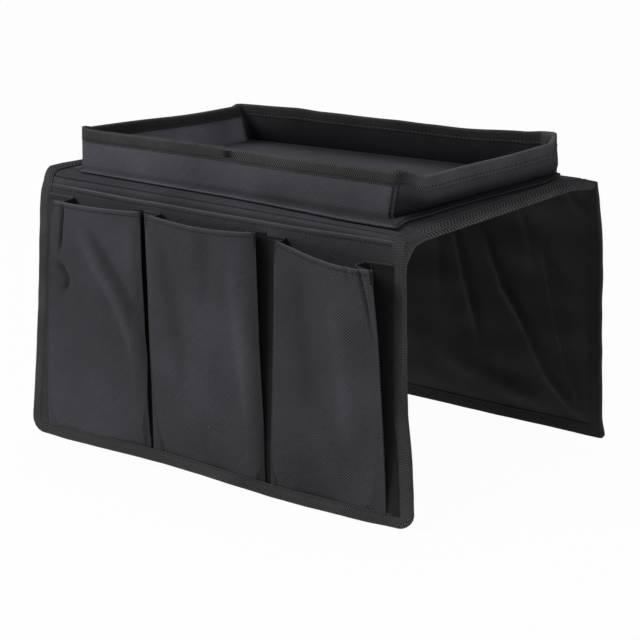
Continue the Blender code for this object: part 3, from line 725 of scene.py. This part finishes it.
# Painted shade on a tape's two stitch rows; its fold is lighter, partly rubbed wear and partly a painted highlight.
STITCH_ROW_SHADE = np.isin(np.arange(29), (OUTER_STITCH, INNER_STITCH)).astype(float)
FOLD_RUB_AND_HIGHLIGHT = np.concatenate([np.zeros(10), (0.3, 0.7, 1.0, 1.0, 1.0, 1.0, 1.0, 0.7, 0.3), np.zeros(10)])


def tape_wear_and_shade(a, b):
    """Tapes are lighter along their fold, partly rubbed wear and partly a painted highlight; their stitch rows get
    painted shade, and their tone varies unevenly.
    """
    return 0.45 * FOLD_RUB_AND_HIGHLIGHT - 0.5 * STITCH_ROW_SHADE + 0.1 * ripple(a, b, 0.03, 71)


def edge_seams(name, points, face):
    """The two rows of stitches that hold an edge's tape."""
    return stitch_rows(name, [line_on(points, row, False, face) for row in (OUTER_STITCH, INNER_STITCH)], THREADS)


def edge_tape(side):
    """The tape folded over a flap's two sides and hem, on over the fold to the top."""
    label = FLAPS[side].split("_")[0]
    away, level, along = tape_section(-EDGE, PANEL + EDGE, TAPE_FOLD)
    lines = [edge_line(side, inset) for inset in away]
    x, s = (np.stack([line[i] for line in lines], axis=1) for i in (0, 1))
    travel = np.concatenate([[0], np.cumsum(np.hypot(np.diff(x[:, 5]), np.diff(s[:, 5])))])
    raised = (tape_high(side, x, s) - PANEL) * (level > PANEL / 2)
    wave = 0.00015 * ripple(x, s, 0.02, 21 + side)
    points = saddle(side, x, s, level[None, :] + raised + wave)
    flat = np.stack([np.broadcast_to(along, x.shape), np.broadcast_to(travel[:, None], x.shape)], axis=-1)
    painted_shade_and_wear = tape_wear_and_shade(x, s)
    # The back tape's inner leg gets painted shade.
    if side > 0:
        painted_shade_and_wear[:, 15:] -= 0.62
    tape = cloth(label + "_edge_tape", points, flat, TAPE, TAPES, flip=side > 0, painted_shade_and_wear=painted_shade_and_wear)
    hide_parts(f"{label}_binding_left", f"{label}_binding_right", f"{label}_hem_binding",
                f"{label}_fold_binding_left", f"{label}_fold_binding_right")
    for obj in (tape, edge_seams(label + "_edge_tape_stitches", points, -side)):
        blend_flap(obj)


for side in (-1, 1):
    edge_tape(side)

for across, end in ((-1, "left"), (1, "right")):
    away, level, along = tape_section(-EDGE, PANEL + EDGE, TAPE_FOLD)
    y = np.linspace(-SPLIT[-1], SPLIT[1], 60)[:, None] * np.ones((1, len(away)))
    x = across * (TOP_HALF - away)[None, :] * np.ones((len(y), 1))
    points = np.stack([x, y, level[None, :] + top_sink(x, y)], axis=-1)
    flat = np.stack([np.broadcast_to(along, x.shape), y], axis=-1)
    tape = cloth("top_edge_tape_" + end, points, flat, TAPE, BOLD_TAPES, flip=across < 0,
                 painted_shade_and_wear=tape_wear_and_shade(x, y) - 0.1)
    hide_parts("top_binding_" + end)
    for obj in (tape, edge_seams("top_edge_stitches_" + end, points, across)):
        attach(obj, "top")

# The tray

SIDE_STEPS = 96
TURN_STEPS = 8
BACK_RIM_RISE = ((-0.135, -0.085, -0.06, -0.002, 0.03, 0.06, 0.107, 0.125),
                 (0.0015, 0.0015, 0.0, -0.0015, -0.0024, -0.0031, -0.0015, 0.0))


def tray_plan(inset):
    """The tray's rounded plan, moved in by inset: places anticlockwise from the front left, closed."""
    radius = max(TRAY_CORNER - inset, 0.0008) if inset > 0 else TRAY_CORNER + 0.2 * inset
    low_x, low_y = -TRAY_HALF + inset + radius, TRAY_FRONT + inset + radius
    high_x, high_y = TRAY_HALF - inset - radius, TRAY_BACK - inset - radius
    x, y = [], []
    spots = ((high_x, low_y, -math.pi / 2, low_x, low_y), (high_x, high_y, 0.0, high_x, low_y),
             (low_x, high_y, math.pi / 2, high_x, high_y), (low_x, low_y, math.pi, low_x, high_y))
    for centre_x, centre_y, start, from_x, from_y in spots:
        out_x, out_y = math.cos(start) * radius, math.sin(start) * radius
        straight = np.linspace(0, 1, SIDE_STEPS + 1)[:-1]
        x.append(mix(from_x, centre_x, straight) + out_x)
        y.append(mix(from_y, centre_y, straight) + out_y)
        turn = start + np.linspace(0, math.pi / 2, TURN_STEPS + 1)[:-1]
        x.append(centre_x + radius * np.cos(turn))
        y.append(centre_y + radius * np.sin(turn))
    x, y = np.concatenate(x), np.concatenate(y)
    return np.append(x, x[0]), np.append(y, y[0])


def settled_tray(x, y, height):
    """Tray points, leaning as the real one does: its corners lean and its rims bow, its foot follows the top."""
    x_share = np.clip(x / TRAY_HALF, -1, 1)
    y_share = np.clip((y - (TRAY_FRONT + TRAY_BACK) / 2) / ((TRAY_BACK - TRAY_FRONT) / 2), -1, 1)
    tall = np.clip(height / TRAY_TALL, 0, 1)[..., None]
    shift = mix(corner_mix(TRAY_BASE_SHIFT, x_share, y_share), corner_mix(TRAY_RIM_SHIFT, x_share, y_share), tall)
    front, left, back, right = (np.clip(past / 0.006 + 1, 0, 1)
                                for past in (-0.097 - y, -0.128 - x, y - 0.093, x - 0.128))
    up = tall[..., 0]
    rise = 0.001 * bump(x + 0.035, 0.05) * front - 0.0015 * bump(y - 0.03, 0.045) * left
    rise = rise + follow(BACK_RIM_RISE, x) * back + 0.0012 * bump(x + 0.133, 0.004) * front
    for centre_x, centre_y, size, wave, seed, high in ((0.132, -0.101, 0.012, 0.009, 35, 0.0007),
                                                       (-0.003, -0.103, 0.006, 0.007, 36, 0.0011)):
        rise = rise + high * ripple(x, y, wave, seed) * bump(np.hypot(x - centre_x, y - centre_y), size)
    bow = 0.0022 * np.sin(np.pi * (x_share + 1) / 2)
    lean_y = (bow * back - 0.6 * bow * front + 0.0012 * ripple(x, y, 0.08, 31) * (front + back)) * up
    bow = 0.0016 * np.sin(np.pi * (y_share + 1) / 2)
    lean_x = (bow * right + 0.001 * ripple(y, x, 0.07, 33) * (left + right)) * up
    slump = ease((y + 0.099) / 0.028) * ease((0.0985 - y) / 0.012) * right
    lean_x = lean_x + 0.005 * np.sin(np.pi * np.clip(up / 0.8, 0, 1)) * slump
    rise = rise * up - 0.0068 * slump * ease(up / 0.65)
    foot = 1 - ease(height / 0.006)
    x, y = x + shift[..., 0] + lean_x, y + shift[..., 1] + lean_y
    return np.stack([x, y, TRAY_BASE + height + mix(shift[..., 2] + rise, top_sink(x, y), foot)], axis=-1)


def tray_net(profile, ruler=-1):
    """Points and cut of a band round the tray, through a profile of (inset, height) points; ruler is the line along
    which the cut is measured. The folded foot is narrower at the left and at the back."""
    profile = np.asarray(profile, float)
    plans = [tray_plan(inset) for inset in profile[:, 0]]
    x, y = (np.stack([plan[i] for plan in plans], axis=1) for i in (0, 1))
    wall_x, wall_y = (line[:, None] for line in tray_plan(0.0))
    outside = profile[:, 0] < 0
    right_wide = mix(0.97, 0.63, ease((wall_y + 0.11) / 0.09)) - 0.45 * ease((wall_y - 0.06) / 0.038)
    wide = np.where(wall_x > 0, right_wide, 0.13)
    deep = np.where(wall_y > 0, 0.2, mix(0.85, 1.14, ease((wall_x + 0.135) / 0.27)))
    x = np.where(outside, mix(wall_x, x, wide), x)
    y = np.where(outside, mix(wall_y, y, deep), y)
    tucked = 0.0073 * ease((-0.12 - wall_x) / 0.015) * ease((-0.085 - wall_y) / 0.012)
    x = x + np.where(outside, tucked * -profile[:, 0] / FLANGE, 0.0)
    height = np.broadcast_to(profile[:, 1], x.shape)
    around = np.concatenate([[0], np.cumsum(np.hypot(np.diff(x[:, ruler]), np.diff(y[:, ruler])))])
    up = np.concatenate([[0], np.cumsum(np.hypot(np.diff(profile[:, 0]), np.diff(profile[:, 1])))])
    points = settled_tray(x, y, height)
    flat = np.stack([np.broadcast_to(around[:, None], x.shape), np.broadcast_to(up, x.shape)], axis=-1)
    return points, flat


LIP_END = 14
FOOT_STITCH = 9
lip = [(-FLANGE - 0.0004 * math.sin(t), 0.0013 - 0.0006 * math.cos(t)) for t in np.linspace(0, math.pi, 7)]
wall_heights = spread((0.0045, WALL_TOP, 16))
profile = [(0.0015, 0.0001), (-0.002, 0.0001)] + lip
profile += [(-0.0084, 0.0012), (-0.007, 0.0019), (-0.003, 0.0021), (-0.001, 0.0015), (-0.0002, 0.0024)]
profile += [(0.0, h) for h in wall_heights]
points, flat = tray_net(profile)


def tray_shades(points):
    """Painted light and shade on the outer wall: painted light on the front, most at the left, with painted shade low
    at its right; the right wall painted dark at its foot and lighter towards its top; a painted highlight along the
    flange's lip; painted shade along the foot's stitch row, in the groove at the wall's foot and along the front
    right corner's two seams.
    """
    x, y = points[..., 0], points[..., 1]
    ahead = ease((TRAY_FRONT + 0.006 - y) / 0.004)
    low = 1 - np.linspace(0, 1, points.shape[1])
    shade = ahead * (0.95 - 0.4 * ease((x + 0.13) / 0.15)) - 0.5 * ahead * ease((x + 0.05) / 0.1) * low
    aside = ease((x - 0.12) / 0.01) * (1 - ahead)
    up = (np.arange(points.shape[1]) - LIP_END) / 16
    shade = shade + aside * (1.1 * ease((up - 0.18) / 0.5) - 0.72)
    shade[:, 5:8] += 0.1 + 0.7 * ease((x[:, 5:8] + 0.135) / 0.1)
    shade[:, FOOT_STITCH] -= 0.6
    shade[:, 11:LIP_END] -= 0.6
    for seam in (3, 6):
        shade[SIDE_STEPS + seam, LIP_END - 1:] -= 1.3
    return shade


def lining_shades(x, y):
    """The walls' inside is lit at the left and dark at the back, most at its foot."""
    shade = 3.9 * ease((-0.12 - x) / 0.008) * ease((0.089 - y) / 0.004)
    return shade - mix(0.93, 0.4, np.linspace(0, 1, x.shape[1]) ** 0.7) * ease((y - 0.088) / 0.006)


def rim_shades(x, y):
    """The rim's tape has painted shade at the back and at the front right, painted light on the right, and a snag in
    front.
    """
    ahead = ease((-0.095 - y) / 0.004)
    shade = tape_wear_and_shade(x, y) - 0.5 * ease((y - 0.085) / 0.01) - 0.3 * ease((x - 0.05) / 0.07) * ahead
    shade = shade + 1.15 * ease((x - 0.122) / 0.004) * ease((y + 0.098) / 0.02)
    row = np.arange(x.shape[1])
    return shade + bump(x + 0.0035, 0.004) * ahead * (0.7 * np.isin(row, (4, 10)) - 1.1 * ((row > 4) & (row < 10)))


outer = cloth("tray_outer_cloth", points, flat, CLOTH, OXFORD, closed=True, flip=True,
              painted_shade_and_wear=tray_shades(points))
corner = points[SIDE_STEPS + 1:SIDE_STEPS + 7, LIP_END + 1:]
rows = [line_on(corner, 2.0, True, 1), line_on(corner, 5.0, True, 1), line_on(points, float(FOOT_STITCH), False, 1)]
outer_seams = stitch_rows("tray_stitches", rows, THREADS)
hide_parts("tray_front_cover", "tray_right_cover", "tray_back_cover", "tray_left_cover", "tray_base_welt")
points, flat = tray_net([(TRAY_WALL, h) for h in spread((-0.0004, WALL_TOP, 16))])
inner = cloth("tray_inner_cloth", points, flat, LINING, INSIDE, closed=True,
              painted_shade_and_wear=lining_shades(points[..., 0], points[..., 1]))
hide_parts("tray_front_lining", "tray_right_lining", "tray_back_lining", "tray_left_lining")
away, level, along = tape_section(-EDGE, TRAY_WALL + EDGE, RIM_FOLD)
points, flat = tray_net(np.stack([TRAY_WALL - level, TRAY_TALL - away], axis=1), ruler=0)
flat = flat[..., ::-1].copy()
flat[..., 0] = along
rim = cloth("tray_rim_tape", points, flat, TAPE, TAPES, closed=True, flip=True,
            painted_shade_and_wear=rim_shades(points[..., 0], points[..., 1]))
rim_seams = stitch_rows("tray_rim_stitches", [line_on(points, OUTER_STITCH, False, 1)], THREADS)
inner_seams = stitch_rows("tray_rim_inner_stitches", [line_on(points, INNER_STITCH, False, 1)], PALE_THREADS)
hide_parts("tray_rim_binding")
for obj in (outer, inner, rim, outer_seams, rim_seams, inner_seams):
    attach(obj, "top")
plan = np.stack(tray_plan(TRAY_BOARD_IN), axis=-1)
for number, label in enumerate(("front", "right", "back", "left")):
    first = number * (SIDE_STEPS + TURN_STEPS) + 1
    heights = np.linspace(0.0014, TRAY_TALL - 0.0016, 8)
    x, y = (np.repeat(plan[first:first + SIDE_STEPS - 1, i, None], len(heights), axis=1) for i in (0, 1))
    points = settled_tray(x, y, np.broadcast_to(heights, x.shape))
    strip = cloth("tray_stiffener_" + label, points, np.stack([x + y, points[..., 2]], axis=-1), TRAY_BOARD,
                  BOARDS, flip=True)
    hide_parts(f"tray_{label}_board")
    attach(strip, "top")

# The magazine pocket

FOOT = 0.0007 - 0.19
MOUTH = 0.0006
MAGAZINE_SEAM = MOUTH - 0.0026
HEM_TURN = 0.009
MAGAZINE_COLUMNS = 110


def flap_s(v):
    """The saddle's place for a height v in the front flap's own frame."""
    return FOLD_START + fold_length(-1) + (-FOLD_START_Z - FOLD_RADIUS - v)


def free_share(x, v):
    """0 at a panel's sewn side edges, easing to 1 towards its middle."""
    clear = half_width(-1, flap_s(v)) - TAPE_FOLD
    return ease((1 - np.abs(x) / clear) / 0.6)


def magazine_rise(x, v):
    """How far the magazine panel stands off the flap."""
    gape = 0.0046 * ease((v - MOUTH + 0.03) / 0.03) * free_share(x, v)
    return gape + 0.0004 * ripple(x, v, 0.06, 41) * ease(free_share(x, v))


def mouth_rub_and_highlight(rows, count):
    """A pocket's mouth is lighter where its hem folds over, partly rubbed wear and partly a painted highlight."""
    return 1.3 * bump(np.arange(count) - rows - 0.5, 1.5)[:, None]


def shade_between_pockets(x, v):
    """Painted shade on the magazine panel in its recesses between the pockets."""
    share = np.clip((v + 0.179) / 0.172, 0, 1)
    dark = bump(x - mix(-0.05, -0.0535, share), 0.0075) + bump(x - mix(0.0518, 0.052, share), 0.0075)
    return 0.85 * dark * ease((-0.01 - v) / 0.012)


v_rows = spread((FOOT, FOOT + 0.012, 12), (FOOT + 0.012, -0.02, 50), (-0.02, MOUTH, 24))
v = np.repeat(v_rows[:, None], MAGAZINE_COLUMNS, axis=1)
s = flap_s(v)
x = np.linspace(-1, 1, MAGAZINE_COLUMNS)[None, :] * cover_half(-1, s)
points = saddle(-1, x, s, POCKET_PACK + magazine_rise(x, v))
magazine_seam = stitch_rows("magazine_stitches", [line_on(points[:, 8:-8], len(points) - 1 - 3.0, True, 1)], THREADS)
points, flat = rolled_hem(points, np.stack([x, v], axis=-1), HEM_TURN, 0.00062)
# The magazine panel is darker towards the right, lighter along its mouth's fold, and gets painted shade between the
# pockets and along its seam.
shade = 0.08 - 0.3 * ease((x[-1] - 0.02) / 0.1) + mouth_rub_and_highlight(len(v_rows), len(points))
shade[:len(v)] -= shade_between_pockets(x, v)
shade[:len(v)] -= 0.6 * seam_line(v - MAGAZINE_SEAM)
magazine = cloth("magazine_pocket_cloth", points, flat, CLOTH, POCKET, painted_shade_and_wear=shade)
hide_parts("magazine_pocket_panel")
for obj in (magazine, magazine_seam):
    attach(obj, "front_flap")

# The three pleated pockets: their sizes repeat the model's, and pairs are for the left and the right side

POCKET_FOOT = 0.0088 - 0.19
MOUTH_DOWN = 0.0168
FRONT_COLUMNS = 96
GUSSET_SHADE = 0.75
SEAM_FOOT = (None, -0.05, 0.0518, None)
SEAM_MOUTH = (None, -0.056, 0.048, None)
FOOT_INSET = {"left": (0.008, -0.0001), "middle": (0.0006, 0.0014), "right": (0.0, 0.0097)}
MOUTH_SHIFT = {"left": (0.0147, 0.0034), "middle": (0.0062, -0.003), "right": (0.0093, -0.0036)}
TURN_COLUMNS = {"left": 14, "middle": 14, "right": 3}
SHADED_SIDE = {"left": 0.5, "middle": 0.65, "right": 0.0}
EDGE_BOW = {"left": (1.0, 0.6), "middle": (1.0, 1.0), "right": (1.0, 1.0)}
GAPE = {"left": (0.015, 0.009), "middle": (0.012, 0.01), "right": (0.009, 0.02)}
DROOP = {"left": (0.001, 0.0), "middle": (0.0, 0.0), "right": (0.003, 0.0085)}
TUCK = {"left": (0.0096, 0.008), "middle": (0.009, 0.0096), "right": (0.006, 0.016)}
SEAM_RISE = {"left": (0.0018, 0.0008), "middle": (0.0004, 0.0), "right": (0.002, 0.0012)}
SAG = {"left": 0.0005, "middle": 0.0025, "right": 0.0025}
POCKETS = ("left", "middle", "right")


def pocket_seam(name, end, v):
    number = POCKETS.index(name) + end
    if number in (0, 3):
        return (-1 if number == 0 else 1) * (half_width(-1, flap_s(v)) - TAPE_FOLD + 0.001)
    up = np.clip((v - POCKET_FOOT) / (MOUTH - 0.01 - POCKET_FOOT), 0, 1)
    return mix(SEAM_FOOT[number], SEAM_MOUTH[number], up)


def mouth_height(name, share):
    """How high a pocket's mouth is, from its left edge to its right one."""
    left, right = DROOP[name]
    return PANEL - MOUTH_DOWN - mix(left, right, ease(share)) - SAG[name] * np.sin(np.pi * share) - FOLD_START_Z


def front_edge(name, end, up):
    """Where a front's edge is across the flap, and how high."""
    way = 1 - 2 * end
    v = mix(POCKET_FOOT, mouth_height(name, float(end)), up)
    foot = pocket_seam(name, end, np.array(POCKET_FOOT)) + way * FOOT_INSET[name][end]
    at_flap_edge = SEAM_FOOT[POCKETS.index(name) + end] is None
    top = pocket_seam(name, end, v if at_flap_edge else v[-1:]) + MOUTH_SHIFT[name][end]
    return mix(foot, top, up ** EDGE_BOW[name][end]), v


def front_out(name, share, up):
    """How far a front stands off the flap."""
    left, right = GAPE[name]
    return mix(0.0057, 0.0036 + mix(left, right, share), up) + 0.003 * np.sin(np.pi * share) * np.sin(np.pi / 2 * up)


def pocket_folds(name, x, v):
    """The dents and creases in each front, out from the flap."""
    lift = 0.0006 * ripple(x, v * 0.6, 0.05, 50 + POCKETS.index(name))
    for line, width, height, lean in FOLDS[name]:
        lift = lift + crease(x, v, line, width, 1.35 * height, lean)
    return lift


FOLDS = {
    "left": (
        (((-0.119, -0.004), (-0.1233, -0.0297), (-0.1264, -0.0495)), 0.0012, -0.0016, 0.0),
        (((-0.13, -0.05), (-0.1228, -0.0582), (-0.1193, -0.0645), (-0.1213, -0.0707), (-0.1285, -0.075)),
         0.0024, -0.0021, 0.0),
        (((-0.113, -0.014), (-0.092, -0.0454), (-0.0741, -0.0733), (-0.0617, -0.1035), (-0.0537, -0.1309),
          (-0.048, -0.165)), 0.006, 0.0018, 0.6),
        (((-0.105, -0.014), (-0.085, -0.0454), (-0.0671, -0.0733), (-0.0557, -0.1035), (-0.0512, -0.1309),
          (-0.05, -0.16)), 0.0042, -0.0015, -0.5),
    ),
    "middle": (
        (((-0.04, -0.004), (-0.0273, -0.0619), (-0.0142, -0.136)), 0.008, -0.0012, 0.3),
        (((0.024, -0.008), (0.0316, -0.0735), (0.0363, -0.1211), (0.044, -0.16)), 0.006, 0.0014, 0.5),
        (((0.004, -0.004), (0.002, -0.03), (0.004, -0.07)), 0.006, -0.001, 0.0),
    ),
    "right": (
        (((0.13, -0.008), (0.1358, -0.033), (0.1416, -0.063)), 0.0012, -0.0017, 0.0),
        (((0.1205, -0.009), (0.1222, -0.017), (0.1238, -0.0262)), 0.0015, -0.0008, 0.0),
        (((0.079, -0.012), (0.0852, -0.0645), (0.0904, -0.1346)), 0.009, -0.0012, 0.3),
        (((0.112, -0.03), (0.118, -0.08), (0.122, -0.15)), 0.008, 0.0012, 0.4),
    ),
}


def rounded_section(points, radii, steps):
    """A path through corner points, with each inner corner rounded; points is a list of (across, out) arrays."""
    path = [points[0]]
    for before, corner, after, radius in zip(points, points[1:], points[2:], radii):
        ways = before - corner, after - corner
        lengths = [np.linalg.norm(way, axis=-1, keepdims=True) for way in ways]
        reach = np.minimum(radius, 0.45 * np.minimum(*lengths))
        start, end = (corner + way / np.maximum(length, 1e-9) * reach for way, length in zip(ways, lengths))
        for t in np.linspace(0, 1, steps):
            path.append(start * (1 - t) ** 2 + corner * 2 * t * (1 - t) + end * t**2)
    return densify(path)


def densify(path):
    """Adds points along the long straight parts of a section."""
    longer = [path[0]]
    for a, b in zip(path, path[1:]):
        steps = 5 if np.linalg.norm(a - b, axis=-1).max() > 0.004 else 1
        longer += [mix(a, b, (i + 1) / steps) for i in range(steps)]
    return longer


def pleat(name, end, ups):
    """A gusset's corners, from its seam over its fold to the front's edge, and their height."""
    way = 1 - 2 * end
    edge, v = front_edge(name, end, ups)
    seam = pocket_seam(name, end, v)
    fold = np.maximum(way * edge, way * seam) * way + way * TUCK[name][end]
    base = POCKET_PACK + 0.0009 + magazine_rise(seam, v)
    depth = np.maximum(front_out(name, float(end), ups) - base, 0.0014)
    upper = base + depth * 0.72
    lower = np.minimum(base + 0.0001 + depth * 0.12, upper - 0.0003)
    return [np.stack(pair, axis=-1) for pair in ((seam, base), (fold, lower), (fold, upper), (edge, base + depth))], v


def rise_to_seam(name, end, ups, count):
    """A gusset's top edge climbs to its seam."""
    near = np.linspace(1 - end, end, count)
    return SEAM_RISE[name][end] * ease(near)[None, :] * ease((ups - 0.8) / 0.2)[:, None]


def gusset_shade(count, dark):
    """Painted shade in a gusset's depth, and lighter where it folds into the front."""
    near = np.linspace(0, 1, count)
    return -dark * (1 - ease((near - 0.4) / 0.5)) + 0.3 * bump(near - 0.93, 0.06)


def pocket_net(name):
    """A pocket's whole cloth: the left pleat, the front and the right pleat, from the foot to the mouth."""
    ups = spread((0.0, 0.06, 6), (0.06, 0.94, 66), (0.94, 1.0, 15))
    (left, left_v), (right, right_v) = (pleat(name, end, ups) for end in (0, 1))
    shares = np.linspace(0, 1, FRONT_COLUMNS)
    flat_front = slice(4, len(shares) - TURN_COLUMNS[name])
    edges = left[3][:, :1], right[3][:, :1]
    front_x = mix(*edges, shares[None, :])
    front_v = np.stack([mix(np.full(len(ups), POCKET_FOOT), mouth_height(name, t), ups) for t in shares], axis=1)
    front_w = np.stack([front_out(name, t, ups) for t in shares], axis=1)
    dents = pocket_folds(name, front_x, front_v)
    front = np.stack([front_x, front_w + dents], axis=-1).transpose(1, 0, 2)
    left_path = rounded_section(left[:3] + [front[0], front[3]], (0.0012, 0.0012, 0.0022), 6)
    right_path = rounded_section(right[:3] + [front[-1], front[-TURN_COLUMNS[name]]], (0.0012, 0.0012, 0.0052), 9)
    path = np.stack(left_path + list(front[flat_front]) + right_path[::-1], axis=1)
    v = np.concatenate([left_v[:, None] + rise_to_seam(name, 0, ups, len(left_path)), front_v[:, flat_front],
                        right_v[:, None] + rise_to_seam(name, 1, ups, len(right_path))], axis=1)
    across = np.clip((path[..., 0] - edges[0]) / (edges[1] - edges[0]), 0, 1)
    # The left and middle pockets get painted shade towards their right edge, the gussets in their depth, and the
    # fronts painted shade in their dents and painted light on their ridges; the right pocket is a little darker all
    # over.
    shade = -SHADED_SIDE[name] * ease((across - 0.83) / 0.16) - 0.15 * (name == "right")
    shade[:, :len(left_path)] += gusset_shade(len(left_path), 0.3 if name == "left" else GUSSET_SHADE)
    shade[:, len(left_path):-len(right_path)] += 130 * dents[:, flat_front]
    shade[:, -len(right_path):] += gusset_shade(len(right_path), GUSSET_SHADE)[::-1]
    run = np.linalg.norm(np.diff(path, axis=1), axis=-1)
    travel = np.concatenate([np.zeros((len(ups), 1)), np.cumsum(run, axis=1)], axis=1)
    middle = path.shape[1] // 2
    cut = travel - travel[:, middle, None] + path[:, middle, 0, None]
    return saddle(-1, path[..., 0], flap_s(v), path[..., 1]), np.stack([cut, v], axis=-1), shade


for name, hinge_x in (("left", -0.1022), ("middle", 0.0), ("right", 0.1022)):
    points, flat, shade = pocket_net(name)
    count = len(points)
    seams = stitch_rows(name + "_pocket_stitches", [line_on(points, count - 1 - 4.0, True, 1)], THREADS)
    points, flat = rolled_hem(points, flat, HEM_TURN, 0.0006)
    shade = np.concatenate([shade, np.repeat(shade[-1:], len(points) - count, axis=0)])
    # The mouth's fold is lighter, and the row of its stitches gets painted shade.
    shade = shade + mouth_rub_and_highlight(count, len(points)) - 0.45 * bump(np.arange(len(points)) - count + 5, 0.8)[:, None]
    pocket = cloth(name + "_pocket_cloth", points, flat, CLOTH, POCKET, painted_shade_and_wear=shade)
    body = "pocket_" + name
    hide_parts(body + "_front", body + "_gusset_left", body + "_gusset_right")
    for obj in (pocket, seams):
        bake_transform(obj)

# Studio

def over_view(tree, rays, share, plain, shown, end):
    """Shows one shader to the given kinds of ray, in the given share, and lights with the other one."""
    path = add_node(tree, "LightPath").outputs
    seen = 0.0
    for ray in rays:
        seen = calc(tree, "MAXIMUM", seen, path[ray])
    both = add_node(tree, "MixShader", {0: calc(tree, "MULTIPLY", seen, share), 1: plain.outputs[0],
                                        2: shown.outputs[0]})
    feed(tree, tree.nodes[end], {"Surface": both.outputs[0]})


def make_stage():
    """The pale floor, which the camera sees as white."""
    deselect()
    bpy.ops.mesh.primitive_plane_add(size=14, location=(0, 0, FLOOR_Z - 0.0006))
    floor = bpy.context.object
    floor.name = "studio_floor"
    material = bpy.data.materials.new("pale_floor")
    material.use_nodes = True
    tree = material.node_tree
    shader = feed(tree, tree.nodes["Principled BSDF"], {"Base Color": (0.9, 0.9, 0.9, 1), "Roughness": 0.9})
    glow = add_node(tree, "Emission", {"Color": (1, 1, 1, 1)})
    rays = ("Is Camera Ray", "Is Glossy Ray", "Is Transmission Ray")
    over_view(tree, rays, 0.97, shader, glow, "Material Output")
    floor.data.materials.append(material)


def make_world():
    """A faint bluish light from all round, which the camera sees as white."""
    world = bpy.data.worlds.new("studio")
    bpy.context.scene.world = world
    world.use_nodes = True
    tree = world.node_tree
    soft = feed(tree, tree.nodes["Background"], {"Color": (0.94, 0.96, 1.0, 1), "Strength": 0.2})
    white = add_node(tree, "Background", {"Color": (1, 1, 1, 1), "Strength": 1.0})
    over_view(tree, ("Is Camera Ray", "Is Transmission Ray"), 1.0, soft, white, "World Output")


def add_lamp(name, place, size, power):
    """A round soft lamp that points at the object."""
    lamp = bpy.data.lights.new(name, "AREA")
    lamp.shape, lamp.size, lamp.energy = "DISK", size, power
    obj = bpy.data.objects.new(name, lamp)
    bpy.context.collection.objects.link(obj)
    obj.location = place
    obj.rotation_mode = "QUATERNION"
    obj.rotation_quaternion = (Vector(place) - Vector((0, 0, -0.08))).to_track_quat("Z", "Y")


def make_camera():
    """The photo's camera, solved from the object's corners."""
    data = bpy.data.cameras.new("photo_view")
    data.lens, data.sensor_width = 123.75, 36
    camera = bpy.data.objects.new("photo_view", data)
    bpy.context.collection.objects.link(camera)
    azimuth, rise, roll = math.radians(34.9), math.radians(14.3), math.radians(1.03)
    back = Vector((math.sin(azimuth) * math.cos(rise), -math.cos(azimuth) * math.cos(rise), math.sin(rise)))
    right = Vector((math.cos(azimuth), math.sin(azimuth), 0))
    up = back.cross(right)
    right, up = right * math.cos(roll) + up * math.sin(roll), up * math.cos(roll) - right * math.sin(roll)
    turn = Matrix((right, up, back)).transposed().to_4x4()
    camera.matrix_world = Matrix.Translation(Vector((-0.002, 0.005, -0.1069)) + back * 1.6) @ turn
    bpy.context.scene.camera = camera


make_stage()
make_world()
add_lamp("key", (-1.0, -1.7, 1.2), 1.0, 30)
add_lamp("fill", (1.7, -1.0, 0.7), 1.4, 4)
add_lamp("top", (-0.2, 0.5, 1.9), 1.4, 8)
make_camera()
bpy.context.scene.view_settings.view_transform = "Standard"

deselect()
